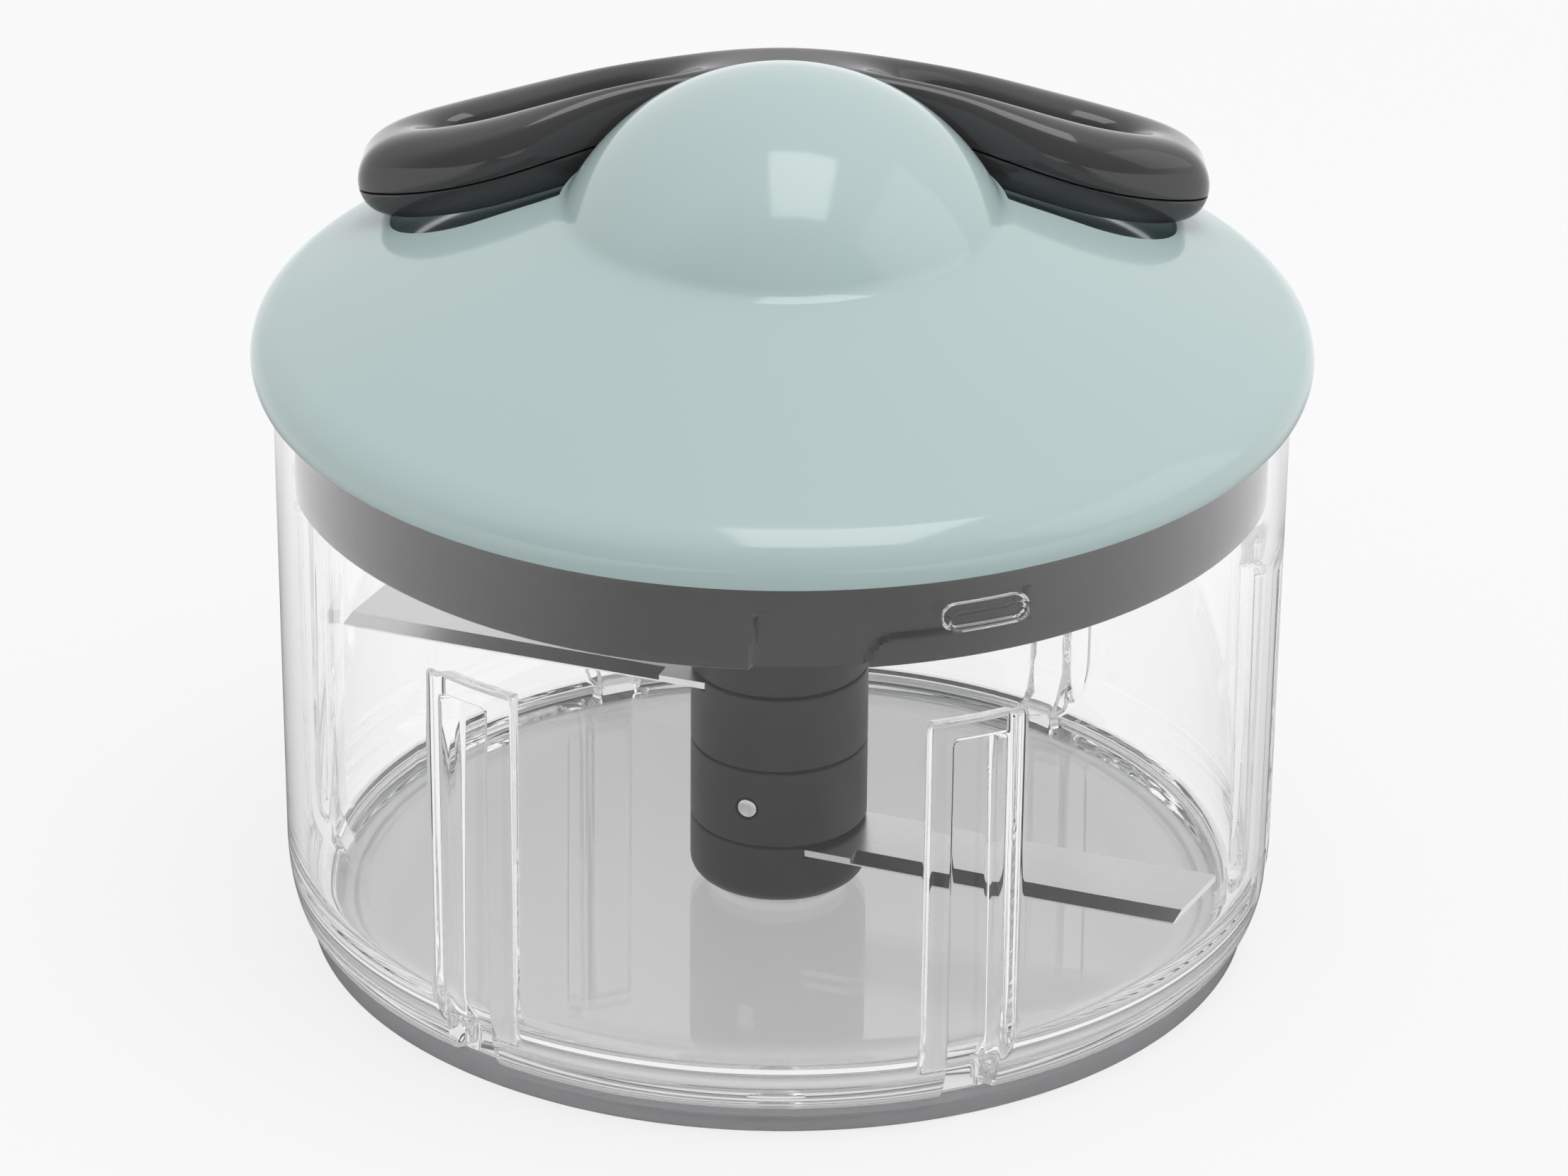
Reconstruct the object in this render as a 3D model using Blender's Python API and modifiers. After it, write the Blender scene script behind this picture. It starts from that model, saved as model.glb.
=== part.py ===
# Pull-handle food chopper: clear ribbed bowl, bayonet lid with a domed recoil reel, bow handle, twin blades.
# Frame: +Z up, origin under the centre of the base pad, front of the lid towards -Y, metres.

import math

import bmesh
import bpy
from mathutils import Matrix, Vector

MM = 0.001

# Fits
SEAT_GAP = 0.3 * MM            # between parts that seat on each other
RUN_GAP = 0.4 * MM             # round a turning part
BOWL_PLUG_GAP = 0.6 * MM       # between the lid's plug and the bowl wall
TRACK_GAP = 0.5 * MM           # above, below and behind a bayonet lug
HANDLE_GAP = 1.2 * MM          # between the handle's bar and its nest

EDGE_BREAK = 0.5 * MM          # small flat on an outer edge
CLEAR = 8.0 * MM               # how far a cutter runs on past the material

# Base pad
PAD_STEP_IN = 3.0 * MM         # from the bowl's wall in to the pad's edge
PAD_THICKNESS = 2.0 * MM
PAD_LIP_HEIGHT = 1.4 * MM
PAD_LIP_WIDTH = 1.0 * MM

# Bowl
BOWL_RADIUS = 63.4 * MM        # outside, above the bottom curve
BOWL_DRAFT = 0.8 * MM          # how much wider the mouth is
BOWL_WALL = 2.0 * MM
BOWL_FLOOR = 2.2 * MM
BOWL_TOP = 77.2 * MM
BOWL_CORNER_IN = 2.6 * MM      # the outer bottom curve, inwards and up
BOWL_CORNER_UP = 10.8 * MM
BOWL_INNER_FILLET = 9.5 * MM
RIB_COUNT = 6
RIB_ANGLE = 22.6
RIB_WIDTH = 11.6 * MM
RIB_DEPTH = 2.9 * MM           # how far a rib stands in from the wall
RIB_TOP = 56.0 * MM
RIB_CORNER = 1.2 * MM
GROOVE_WIDTH = 6.2 * MM
GROOVE_DEPTH = 2.7 * MM
GROOVE_CORNER = 1.0 * MM
NOTCH_DEPTH = 1.2 * MM         # how far a groove's notch cuts into the foot
NOTCH_RISE = 1.2 * MM
LUG_COUNT = 3
LUG_ANGLE = 23.3
LUG_LENGTH = 11.0 * MM
LUG_HEIGHT = 3.2 * MM
LUG_DEPTH = 1.3 * MM
LUG_Z = 70.7 * MM
TWIST_ANGLE = 20.0             # from locked to free

# Blade unit
COLUMN_RADIUS = 11.4 * MM
COLUMN_TOP = 64.6 * MM
UPPER_SEAM = 35.5 * MM
MIDDLE_SEAM = 24.9 * MM
LOWER_SEAM = 14.1 * MM
FOOT_ROUND = 2.2 * MM
SPINDLE_RADIUS = 5.0 * MM
HEX_RADIUS = 5.8 * MM          # across the corners
HEX_LENGTH = 9.5 * MM
HEX_NOSE_IN = 0.8 * MM         # the hexagon's tapered tip
HEX_NOSE = 1.0 * MM
BLADE_THICKNESS = 0.9 * MM
BLADE_CLEARANCE = 0.9 * MM     # between a blade's tip and the ribs
BLADE_TIP_SLANT = 1.4 * MM
BLADE_LEAD = 4.1 * MM          # from the arm's line to the edge that is nearer to it
BLADE_TRAIL = 8.8 * MM
BLADE_HUB_RADIUS = 9.2 * MM
GRIND_START = 4.0 * MM         # from the hub to where the ground edge starts
GRIND_WIDTH = 2.5 * MM
UPPER_BLADE_ANGLE = 160.0      # from +X
LOWER_BLADE_ANGLE = -21.0
PIVOT_RADIUS = 2.0 * MM
PIVOT_TOP = 30.5 * MM
WASHER_RADIUS = 9.0 * MM
WASHER_THICKNESS = 0.7 * MM
PIN_RADIUS = 1.3 * MM
PIN_Z = 19.5 * MM
PIN_ANGLE = -21.0              # from the front

# Lid
LID_OVERHANG = 2.8 * MM        # past the bowl's mouth
LID_RIM_Z = 79.7 * MM          # height of the widest circle
LID_LIP_HEIGHT = 2.2 * MM      # from there down to the lip's edge
SHOULDER_STEP_IN = 2.0 * MM    # from the rim in to the shoulder
SHOULDER_Z = 83.4 * MM
DOME_RADIUS = 30.7 * MM
DOME_CENTRE_Z = 85.0 * MM
DOME_FOOT_RADIUS = 27.9 * MM   # where the dome leaves the cone
CONE_TOP_RADIUS = 30.0 * MM
CONE_TOP_Z = 97.4 * MM
DOME_FILLET_OUT = 0.7 * MM     # small fillet where the dome meets the cone
DOME_FILLET_UP = 0.4 * MM
CONE_CROWN = 0.5 * MM          # how far the cone bulges halfway down
RIM_ROUND_IN = 0.6 * MM        # the rolled rim, above and below its widest circle
RIM_ROUND_DOWN = 1.6 * MM
LIP_ROUND_IN = 0.3 * MM
LIP_ROUND_UP = 0.6 * MM
LIP_STEP_IN = 1.0 * MM
COVER_WALL = 2.2 * MM
LINER_WALL = 2.0 * MM          # round the nest
HOLLOW_STEP_IN = 0.3 * MM      # the hollow's foot under the dome, in from the dome's own
SCOOP_STEP_OUT = 0.5 * MM      # from the dome's foot out to the scoops
PLUG_WALL = 2.2 * MM
PLUG_BOTTOM = 64.9 * MM
LID_FLOOR_Z = 66.6 * MM
LID_FLOOR = 2.0 * MM
FLANGE_THICKNESS = 1.5 * MM
FLANGE_STEP_IN = 1.0 * MM      # from the plug's inside in to the flange's
PLUG_EDGE_BREAK = 0.4 * MM
SCOOP_DEPTH = 3.2 * MM
SCOOP_HALF_LENGTH = 50.0 * MM
SCOOP_FRONT = 4.0 * MM
SCOOP_BACK = 40.0 * MM
SCOOP_CORNER = 12.0 * MM

NEST_FILLET = 1.2 * MM
NEST_HALF_LENGTH = 27.0 * MM
NEST_BOW = 4.6 * MM            # the nest's front wall comes forward by this at its ends

# Handle
HANDLE_HALF_LENGTH = 53.4 * MM
HANDLE_Y = 22.0 * MM
HANDLE_Z = 104.3 * MM
BAR_HALF_WIDTH = 5.4 * MM
BAR_HALF_HEIGHT = 6.5 * MM
HANDLE_SPAN = 60.0 * MM        # half the length over which the handle droops
HANDLE_DROOP = 12.0 * MM
HANDLE_LEAN = 0.20             # fall towards the back of each loop
HANDLE_LEAN_RUN = 26.0 * MM    # from the middle to where a loop has its full lean
PARTING_DROP = 1.2 * MM        # parting line under the handle's middle
PARTING_GAP = 0.3 * MM

# Recoil drive
AXLE_RADIUS = 2.0 * MM
AXLE_BOTTOM = 77.6 * MM
AXLE_TOP = 108.6 * MM
SOCKET_RADIUS = 8.5 * MM
SOCKET_CUP_Z = 77.2 * MM
SOCKET_CUP_RADIUS = 14.0 * MM
SOCKET_CUP_WALL = 1.6 * MM
SOCKET_CUP_HEIGHT = 6.0 * MM
SOCKET_FLOOR = 1.6 * MM
BOSS_RADIUS = 3.4 * MM         # the raised seat that the reel's hub turns on
BOSS_HEIGHT = 1.2 * MM
RATCHET_TEETH = 12
RATCHET_DEPTH = 1.3 * MM
BUSH_WALL = 1.6 * MM
BUSH_FLANGE = 2.2 * MM
BUSH_FLANGE_HEIGHT = 1.4 * MM
PAWL_HEIGHT = 2.2 * MM
TOWER_WALL = 5.2 * MM
CASE_Z = 84.2 * MM
CASE_RADIUS = 16.4 * MM
CASE_FLANGE = 5.6 * MM
CASE_WALL = 1.3 * MM
CASE_FLOOR = 1.4 * MM
CASE_HEIGHT = 8.0 * MM
CAP_THICKNESS = 1.2 * MM
SPRING_TURNS = 4.5
SPRING_THICKNESS = 0.5 * MM
SPRING_INNER = 7.2 * MM
SPRING_CLEARANCE = 0.8 * MM    # from the outer turn to the case
SCREW_COUNT = 3
SCREW_RADIUS = 1.2 * MM
SCREW_HEAD_RADIUS = 2.3 * MM
SCREW_HEAD = 1.4 * MM
SCREW_LENGTH = 7.0 * MM
REEL_RADIUS = 12.2 * MM
REEL_CORE = 8.0 * MM
REEL_Z = 97.2 * MM
REEL_WIDTH = 8.6 * MM
REEL_FLANGE = 1.2 * MM
REEL_HUB = 6.0 * MM
WINDING_DEPTH = 2.6 * MM
CORD_RADIUS = 1.0 * MM
CORD_Z = 102.1 * MM
KNOT_RADIUS = 2.2 * MM
EYELET_RADIUS = 2.4 * MM
EYELET_FLANGE = 3.2 * MM

FINE = 44                      # facets round the bowl and the lid
COLUMN_FACETS = 24
MEDIUM = 24
SMALL = 14

# Sizes that follow from the ones above
BOWL_BOTTOM = PAD_THICKNESS + SEAT_GAP
PAD_RADIUS = BOWL_RADIUS - PAD_STEP_IN
BOWL_INSIDE_Z = BOWL_BOTTOM + BOWL_FLOOR
PIVOT_POCKET_Z = BOWL_BOTTOM + 1.0 * MM
MOUTH_RADIUS = BOWL_RADIUS + BOWL_DRAFT
MOUTH_INSIDE = MOUTH_RADIUS - BOWL_WALL
PLUG_RADIUS = MOUTH_INSIDE - BOWL_PLUG_GAP
FOOT_RADIUS = PAD_RADIUS - PAD_LIP_WIDTH - SEAT_GAP
BLADE_LENGTH = BOWL_RADIUS - BOWL_WALL - RIB_DEPTH - BLADE_CLEARANCE
LID_RADIUS = MOUTH_RADIUS + LID_OVERHANG
SHOULDER_RADIUS = LID_RADIUS - SHOULDER_STEP_IN
LIP_Z = LID_RIM_Z - LID_LIP_HEIGHT
WASHER_Z = BOWL_INSIDE_Z + SEAT_GAP
COLUMN_BOTTOM = WASHER_Z + WASHER_THICKNESS + SEAT_GAP
CASE_TOP = CASE_Z + CASE_HEIGHT
TOWER_RADIUS = CASE_RADIUS + CASE_FLANGE
SPRING_OUTER = CASE_RADIUS - CASE_WALL - SPRING_CLEARANCE
CORE_BORE = SPINDLE_RADIUS + SEAT_GAP
BLADE_POCKET = BLADE_THICKNESS + 2 * SEAT_GAP
DOME_TOP = DOME_CENTRE_Z + DOME_RADIUS
CONE_SLOPE = (CONE_TOP_Z - SHOULDER_Z) / (SHOULDER_RADIUS - CONE_TOP_RADIUS)


def new_collection(name):
    collection = bpy.data.collections.new(name)
    bpy.context.scene.collection.children.link(collection)
    return collection


def plastic(name, colour, roughness=0.35, metallic=0.0, alpha=1.0):
    material = bpy.data.materials.new(name)
    material.use_nodes = True
    shader = material.node_tree.nodes["Principled BSDF"]
    shader.inputs["Base Color"].default_value = (*colour, 1.0)
    shader.inputs["Roughness"].default_value = roughness
    shader.inputs["Metallic"].default_value = metallic
    shader.inputs["Alpha"].default_value = alpha
    material.diffuse_color = (*colour, alpha)
    return material


def add_object(name, mesh, collection, material=None):
    thing = bpy.data.objects.new(name, mesh)
    collection.objects.link(thing)
    if material:
        mesh.materials.append(material)
    if collection is cutters:
        thing.hide_render = True
        thing.display_type = "WIRE"
    return thing


def polar(radius, angle, z):
    """Point at an angle from the front, towards +X."""
    turn = math.radians(angle)
    return Vector((radius * math.sin(turn), -radius * math.cos(turn), z))


def arc(centre, radius, start, end, steps, height=None):
    """Points of a circle or ellipse in a profile, angles in degrees from +X of the profile."""
    tall = radius if height is None else height
    points = []
    for i in range(steps + 1):
        turn = math.radians(start + (end - start) * i / steps)
        points.append((centre[0] + radius * math.cos(turn), centre[1] + tall * math.sin(turn)))
    return points


def turned(name, profile, collection, material=None, segments=FINE, closed=False):
    """Solid turned round Z from an (r, z) profile that runs down its outer side."""
    mesh = bpy.data.meshes.new(name)
    edges = [(i, i + 1) for i in range(len(profile) - 1)]
    if closed:
        edges.append((len(profile) - 1, 0))
    mesh.from_pydata([(r, 0.0, z) for r, z in profile], edges, [])
    thing = add_object(name, mesh, collection, material)
    screw = thing.modifiers.new("turn", "SCREW")
    screw.axis = "Z"
    screw.angle = 2 * math.pi
    screw.steps = segments
    screw.render_steps = segments
    screw.use_merge_vertices = True
    screw.merge_threshold = 0.00001
    screw.use_smooth_shade = True
    return thing


def ring(name, inner, outer, bottom, top, collection, material=None, segments=MEDIUM):
    profile = [(inner, top), (outer, top), (outer, bottom), (inner, bottom)]
    return turned(name, profile, collection, material, segments, closed=True)


def disc(name, radius, bottom, top, collection, material=None, segments=MEDIUM):
    profile = [(0, top), (radius, top), (radius, bottom), (0, bottom)]
    return turned(name, profile, collection, material, segments)


def rod(name, radius, start, end, collection, material=None, segments=SMALL):
    """Straight round bar between two points."""
    start = Vector(start)
    end = Vector(end)
    mesh = bpy.data.meshes.new(name)
    shape = bmesh.new()
    bmesh.ops.create_cone(shape, cap_ends=True, segments=segments, radius1=radius, radius2=radius,
                          depth=(end - start).length)
    shape.to_mesh(mesh)
    shape.free()
    thing = add_object(name, mesh, collection, material)
    thing.location = (start + end) / 2
    thing.rotation_mode = "QUATERNION"
    thing.rotation_quaternion = (end - start).to_track_quat("Z", "Y")
    return thing


def block(name, low, high, collection, material=None, round_edges=0.0, steps=2):
    """Box between two corners, with its upright edges rounded if asked."""
    low = Vector(low)
    high = Vector(high)
    mesh = bpy.data.meshes.new(name)
    shape = bmesh.new()
    size = high - low
    place = Matrix.Translation((low + high) / 2) @ Matrix.Diagonal((*size, 1.0))
    bmesh.ops.create_cube(shape, size=1.0, matrix=place)
    if round_edges:
        upright = [e for e in shape.edges if abs((e.verts[0].co - e.verts[1].co).z) > size.z / 2]
        bmesh.ops.bevel(shape, geom=upright, offset=round_edges, segments=steps, affect="EDGES", profile=0.5)
    shape.to_mesh(mesh)
    shape.free()
    return add_object(name, mesh, collection, material)


def flat_outline(name, outlines, thickness, z, collection, material=None):
    """Plate cut from closed outlines, the first outside and the others as holes, centred on z."""
    curve = bpy.data.curves.new(name, "CURVE")
    curve.dimensions = "2D"
    curve.fill_mode = "BOTH"
    curve.extrude = thickness / 2
    for outline in outlines:
        spline = curve.splines.new("POLY")
        spline.points.add(len(outline) - 1)
        for point, (x, y) in zip(spline.points, outline):
            point.co = (x, y, 0.0, 1.0)
        spline.use_cyclic_u = True
    guide = bpy.data.objects.new(name + "_guide", curve)
    cutters.objects.link(guide)
    mesh = evaluated_mesh(guide, name)
    bpy.data.objects.remove(guide)
    bpy.data.curves.remove(curve)
    mesh.transform(Matrix.Translation((0, 0, z)))
    return add_object(name, mesh, collection, material)


def evaluated_mesh(thing, name):
    bpy.context.view_layer.update()
    graph = bpy.context.evaluated_depsgraph_get()
    mesh = bpy.data.meshes.new_from_object(thing.evaluated_get(graph))
    mesh.name = name
    mesh.transform(thing.matrix_world)
    shape = bmesh.new()
    shape.from_mesh(mesh)
    bmesh.ops.remove_doubles(shape, verts=shape.verts, dist=0.000005)
    shape.to_mesh(mesh)
    shape.free()
    return mesh


def combine(target, other, operation):
    step = target.modifiers.new(operation.lower() + "_" + other.name, "BOOLEAN")
    step.operation = operation
    step.solver = "EXACT"
    step.object = other
    return target


def cut(target, other):
    return combine(target, other, "DIFFERENCE")


def join(target, other):
    return combine(target, other, "UNION")


def keep_common(target, other):
    return combine(target, other, "INTERSECT")


def turn_to(thing, angle):
    """Turn a shape that was made facing the front to an angle from the front."""
    thing.rotation_euler = (0.0, 0.0, math.radians(angle))
    return thing


def smooth_shading(thing, limit=35.0):
    mesh = thing.data
    mesh.shade_smooth()
    mesh.set_sharp_from_angle(angle=math.radians(limit))
    return thing


def ease(share):
    """Runs from 0 to 1 with level ends."""
    share = min(1.0, share)
    return share * share * (3.0 - 2.0 * share)


def handle_surface(x, y):
    """Height of the handle's middle: it droops to both ends, and each loop leans back."""
    lean = HANDLE_LEAN * ease(abs(x) / HANDLE_LEAN_RUN)
    return HANDLE_Z - HANDLE_DROOP * ease(abs(x) / HANDLE_SPAN) - lean * (y - HANDLE_Y)


def bent_block(name, front, back, bottom, top, half_length, columns, bow, edge=0.0):
    """Block that follows the handle's droop and lean; its front and back are given from the bar's middle."""
    low = Vector((-half_length, front, bottom))
    high = Vector((half_length, back, top))
    mesh = bpy.data.meshes.new(name)
    shape = bmesh.new()
    place = Matrix.Translation((low + high) / 2) @ Matrix.Diagonal((*(high - low), 1.0))
    bmesh.ops.create_cube(shape, size=1.0, matrix=place)
    if edge:
        corner = [e for e in shape.edges
                  if all(abs(v.co.y - front) < MM / 10 and abs(v.co.z - bottom) < MM / 10 for v in e.verts)]
        bmesh.ops.bevel(shape, geom=corner, offset=edge, segments=3, affect="EDGES", profile=0.5)
    everything = shape.verts[:] + shape.edges[:] + shape.faces[:]
    bmesh.ops.bisect_plane(shape, geom=everything, plane_co=(0, (front + back) / 2, 0), plane_no=(0, 1, 0))
    for i in range(1, columns):
        x = -half_length + 2 * half_length * i / columns
        everything = shape.verts[:] + shape.edges[:] + shape.faces[:]
        bmesh.ops.bisect_plane(shape, geom=everything, plane_co=(x, 0, 0), plane_no=(1, 0, 0))
    for vertex in shape.verts:
        x, y, z = vertex.co
        y += HANDLE_Y - bow * (x / NEST_HALF_LENGTH) ** 2
        vertex.co = (x, y, handle_surface(x, y) + z)
    bmesh.ops.triangulate(shape, faces=shape.faces[:])
    shape.to_mesh(mesh)
    shape.free()
    return add_object(name, mesh, cutters)


def wrapped_prism(name, outline, inner, outer, step=4.0):
    """Cutter that wraps an outline of (angle, height) points round Z between two radii."""
    mesh = bpy.data.meshes.new(name)
    shape = bmesh.new()
    shape.faces.new([shape.verts.new((angle, z, 0.0)) for angle, z in outline])
    angles = [angle for angle, z in outline]
    angle = min(angles) + step
    while angle < max(angles):
        everything = shape.verts[:] + shape.edges[:] + shape.faces[:]
        bmesh.ops.bisect_plane(shape, geom=everything, plane_co=(angle, 0, 0), plane_no=(1, 0, 0))
        angle += step
    raised = bmesh.ops.extrude_face_region(shape, geom=shape.faces[:])
    for vertex in [v for v in raised["geom"] if isinstance(v, bmesh.types.BMVert)]:
        vertex.co.z = 1.0
    for vertex in shape.verts:
        angle, z, side = vertex.co
        vertex.co = polar(outer if side > 0.5 else inner, angle, z)
    bmesh.ops.recalc_face_normals(shape, faces=shape.faces[:])
    bmesh.ops.triangulate(shape, faces=shape.faces[:])
    shape.to_mesh(mesh)
    shape.free()
    return add_object(name, mesh, cutters)


def make_base_pad():
    lip_top = PAD_THICKNESS + PAD_LIP_HEIGHT
    inner = PAD_RADIUS - PAD_LIP_WIDTH
    profile = [(0, PAD_THICKNESS), (inner, PAD_THICKNESS), (inner, lip_top),
               (PAD_RADIUS - EDGE_BREAK, lip_top), (PAD_RADIUS, lip_top - EDGE_BREAK),
               (PAD_RADIUS, EDGE_BREAK), (PAD_RADIUS - EDGE_BREAK, 0), (0, 0)]
    return smooth_shading(turned("base_pad", profile, parts, smoky_rubber))


def bowl_wall_radius(z):
    """Outside radius of the bowl's drafted wall."""
    corner_top = BOWL_BOTTOM + BOWL_CORNER_UP
    return BOWL_RADIUS + BOWL_DRAFT * (z - corner_top) / (BOWL_TOP - corner_top)


def make_bowl():
    """Clear bowl: a turned form, hollowed round its ribs and lugs, then grooved from outside."""
    corner_top = BOWL_BOTTOM + BOWL_CORNER_UP
    over_pad = PAD_THICKNESS + PAD_LIP_HEIGHT + SEAT_GAP
    curve_centre = (BOWL_RADIUS - BOWL_CORNER_IN, corner_top)
    profile = [(0, BOWL_TOP), (MOUTH_RADIUS - EDGE_BREAK, BOWL_TOP), (MOUTH_RADIUS, BOWL_TOP - EDGE_BREAK)]
    profile += arc(curve_centre, BOWL_CORNER_IN, 0, -82, 4, height=corner_top - over_pad)
    profile += [(FOOT_RADIUS, over_pad), (FOOT_RADIUS, BOWL_BOTTOM + EDGE_BREAK),
                (FOOT_RADIUS - EDGE_BREAK, BOWL_BOTTOM), (0, BOWL_BOTTOM)]
    bowl = turned("bowl", profile, parts, clear_plastic)
    inside_wall = BOWL_RADIUS - BOWL_WALL
    fillet_centre = (inside_wall - BOWL_INNER_FILLET, BOWL_INSIDE_Z + BOWL_INNER_FILLET)
    inside = [(0, BOWL_TOP + CLEAR), (MOUTH_INSIDE, BOWL_TOP + CLEAR), (MOUTH_INSIDE, BOWL_TOP)]
    inside += arc(fillet_centre, BOWL_INNER_FILLET, 0, -90, 5)
    inside += [(0, BOWL_INSIDE_Z)]
    hollow = turned("bowl_hollow", inside, cutters)
    leave_ribs(hollow)
    leave_lugs(hollow)
    cut(bowl, hollow)
    cut_grooves(bowl)
    pocket = disc("pivot_pocket", PIVOT_RADIUS + SEAT_GAP, PIVOT_POCKET_Z, BOWL_INSIDE_Z + CLEAR, cutters,
                  segments=SMALL)
    cut(bowl, pocket)
    return smooth_shading(bowl)


def leave_ribs(hollow):
    inner_face = BOWL_RADIUS - BOWL_WALL - RIB_DEPTH
    for i in range(RIB_COUNT):
        rib = block(f"rib_{i + 1}", (-RIB_WIDTH / 2, -MOUTH_RADIUS, BOWL_INSIDE_Z - MM),
                    (RIB_WIDTH / 2, -inner_face, RIB_TOP), cutters, round_edges=RIB_CORNER)
        cut(hollow, turn_to(rib, RIB_ANGLE + 360.0 * i / RIB_COUNT))


def cut_grooves(bowl):
    """Groove behind each rib, with a deeper notch where it runs out through the foot."""
    floor = BOWL_RADIUS - GROOVE_DEPTH
    half = GROOVE_WIDTH / 2
    outside = MOUTH_RADIUS + CLEAR
    for i in range(RIB_COUNT):
        angle = RIB_ANGLE + 360.0 * i / RIB_COUNT
        groove = block(f"groove_{i + 1}", (-half, -outside, 0), (half, -floor, RIB_TOP - BOWL_WALL),
                       cutters, round_edges=GROOVE_CORNER)
        cut(bowl, turn_to(groove, angle))
        notch = block(f"notch_{i + 1}", (EDGE_BREAK - half, -outside, 0),
                      (half - EDGE_BREAK, -FOOT_RADIUS + NOTCH_DEPTH, BOWL_INSIDE_Z + NOTCH_RISE), cutters)
        cut(bowl, turn_to(notch, angle))


def leave_lugs(hollow):
    """Three round-ended lugs on the wall that run in the lid's tracks."""
    wall_inside = bowl_wall_radius(LUG_Z) - BOWL_WALL
    half = LUG_HEIGHT / 2
    straight = LUG_LENGTH / 2 - half
    outline = [(straight + half * math.cos(math.radians(a)), half * math.sin(math.radians(a)))
               for a in range(-90, 91, 45)]
    outline += [(-x, -y) for x, y in outline]
    degrees = [(math.degrees(x / wall_inside), LUG_Z + y) for x, y in outline]
    for i in range(LUG_COUNT):
        lug = wrapped_prism(f"lug_{i + 1}", degrees, wall_inside - LUG_DEPTH, wall_inside + BOWL_WALL / 2,
                            6.0)
        cut(hollow, turn_to(lug, LUG_ANGLE + 360.0 * i / LUG_COUNT))


def make_pivot_pin():
    bottom = PIVOT_POCKET_Z + SEAT_GAP
    nose = PIVOT_RADIUS * 0.6
    profile = [(0, PIVOT_TOP)] + arc((PIVOT_RADIUS - nose, PIVOT_TOP - nose), nose, 90, 0, 3)
    profile += [(PIVOT_RADIUS, bottom), (0, bottom)]
    return smooth_shading(turned("pivot_pin", profile, parts, steel, SMALL))


def make_foot_washer():
    washer = ring("foot_washer", PIVOT_RADIUS + SEAT_GAP, WASHER_RADIUS, WASHER_Z,
                  WASHER_Z + WASHER_THICKNESS, parts, steel, MEDIUM)
    return smooth_shading(washer)


def make_spindle():
    hex_bottom = COLUMN_TOP + SEAT_GAP
    hex_top = hex_bottom + HEX_LENGTH
    core_top = hex_bottom + 1.0 * MM
    spindle = turned("blade_spindle", [(0, core_top), (SPINDLE_RADIUS, core_top),
                                       (SPINDLE_RADIUS, COLUMN_BOTTOM), (0, COLUMN_BOTTOM)],
                     parts, dark_plastic, SMALL)
    drive = turned("drive_hex", [(0, hex_top), (HEX_RADIUS - HEX_NOSE_IN, hex_top),
                                 (HEX_RADIUS, hex_top - HEX_NOSE), (HEX_RADIUS, hex_bottom),
                                 (0, hex_bottom)],
                   cutters, None, 6)
    join(spindle, drive)
    bore = disc("pivot_bore", PIVOT_RADIUS + RUN_GAP, 0, PIVOT_TOP + SEAT_GAP, cutters, segments=SMALL)
    cut(spindle, bore)
    cut(spindle, pin_bore())
    return smooth_shading(spindle)


def pin_bore():
    if "pin_bore" in bpy.data.objects:
        return bpy.data.objects["pin_bore"]
    return rod("pin_bore", PIN_RADIUS + SEAT_GAP, polar(PIVOT_RADIUS + RUN_GAP / 2, PIN_ANGLE, PIN_Z),
               polar(COLUMN_RADIUS + CLEAR, PIN_ANGLE, PIN_Z), cutters)


def make_blade_pin():
    pin = rod("blade_pin", PIN_RADIUS, polar(PIVOT_RADIUS + 3 * RUN_GAP, PIN_ANGLE, PIN_Z),
              polar(COLUMN_RADIUS, PIN_ANGLE, PIN_Z), parts, steel)
    return smooth_shading(pin)


def make_sleeve(name, bottom, top, rounded=0.0):
    """One plastic ring of the blade column, bored for the spindle."""
    outer = COLUMN_RADIUS
    edge = EDGE_BREAK / 2
    profile = [(CORE_BORE, top), (outer - edge, top), (outer, top - edge)]
    if rounded:
        profile += arc((outer - rounded, bottom + rounded), rounded, 0, -90, 3)
    else:
        profile += [(outer, bottom + edge), (outer - edge, bottom)]
    profile += [(CORE_BORE, bottom)]
    return turned(name, profile, parts, dark_plastic, COLUMN_FACETS, closed=True)


def blade_seat(sleeve, top, angle, lead, trail):
    """Pocket for a blade's hub in the top of a sleeve, with a slot where the arm leaves."""
    pocket = disc(sleeve.name + "_pocket", BLADE_HUB_RADIUS + SEAT_GAP, top - BLADE_POCKET, top + CLEAR,
                  cutters)
    cut(sleeve, pocket)
    slot = block(sleeve.name + "_slot", (0, -trail - SEAT_GAP, top - BLADE_POCKET),
                 (COLUMN_RADIUS + CLEAR, lead + SEAT_GAP, top + CLEAR), cutters)
    slot.rotation_euler = (0.0, 0.0, math.radians(angle))
    cut(sleeve, slot)


def make_column():
    half_gap = SEAT_GAP / 2
    collar = make_sleeve("blade_collar", UPPER_SEAM + half_gap, COLUMN_TOP)
    upper = make_sleeve("blade_sleeve_upper", MIDDLE_SEAM + half_gap, UPPER_SEAM - half_gap)
    lower = make_sleeve("blade_sleeve_lower", LOWER_SEAM + half_gap, MIDDLE_SEAM - half_gap)
    foot = make_sleeve("blade_foot", COLUMN_BOTTOM, LOWER_SEAM - half_gap, rounded=FOOT_ROUND)
    blade_seat(upper, UPPER_SEAM - half_gap, UPPER_BLADE_ANGLE, BLADE_TRAIL, BLADE_LEAD)
    blade_seat(foot, LOWER_SEAM - half_gap, LOWER_BLADE_ANGLE, BLADE_LEAD, BLADE_TRAIL)
    cut(lower, pin_bore())
    for sleeve in (collar, upper, lower, foot):
        smooth_shading(sleeve)


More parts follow.
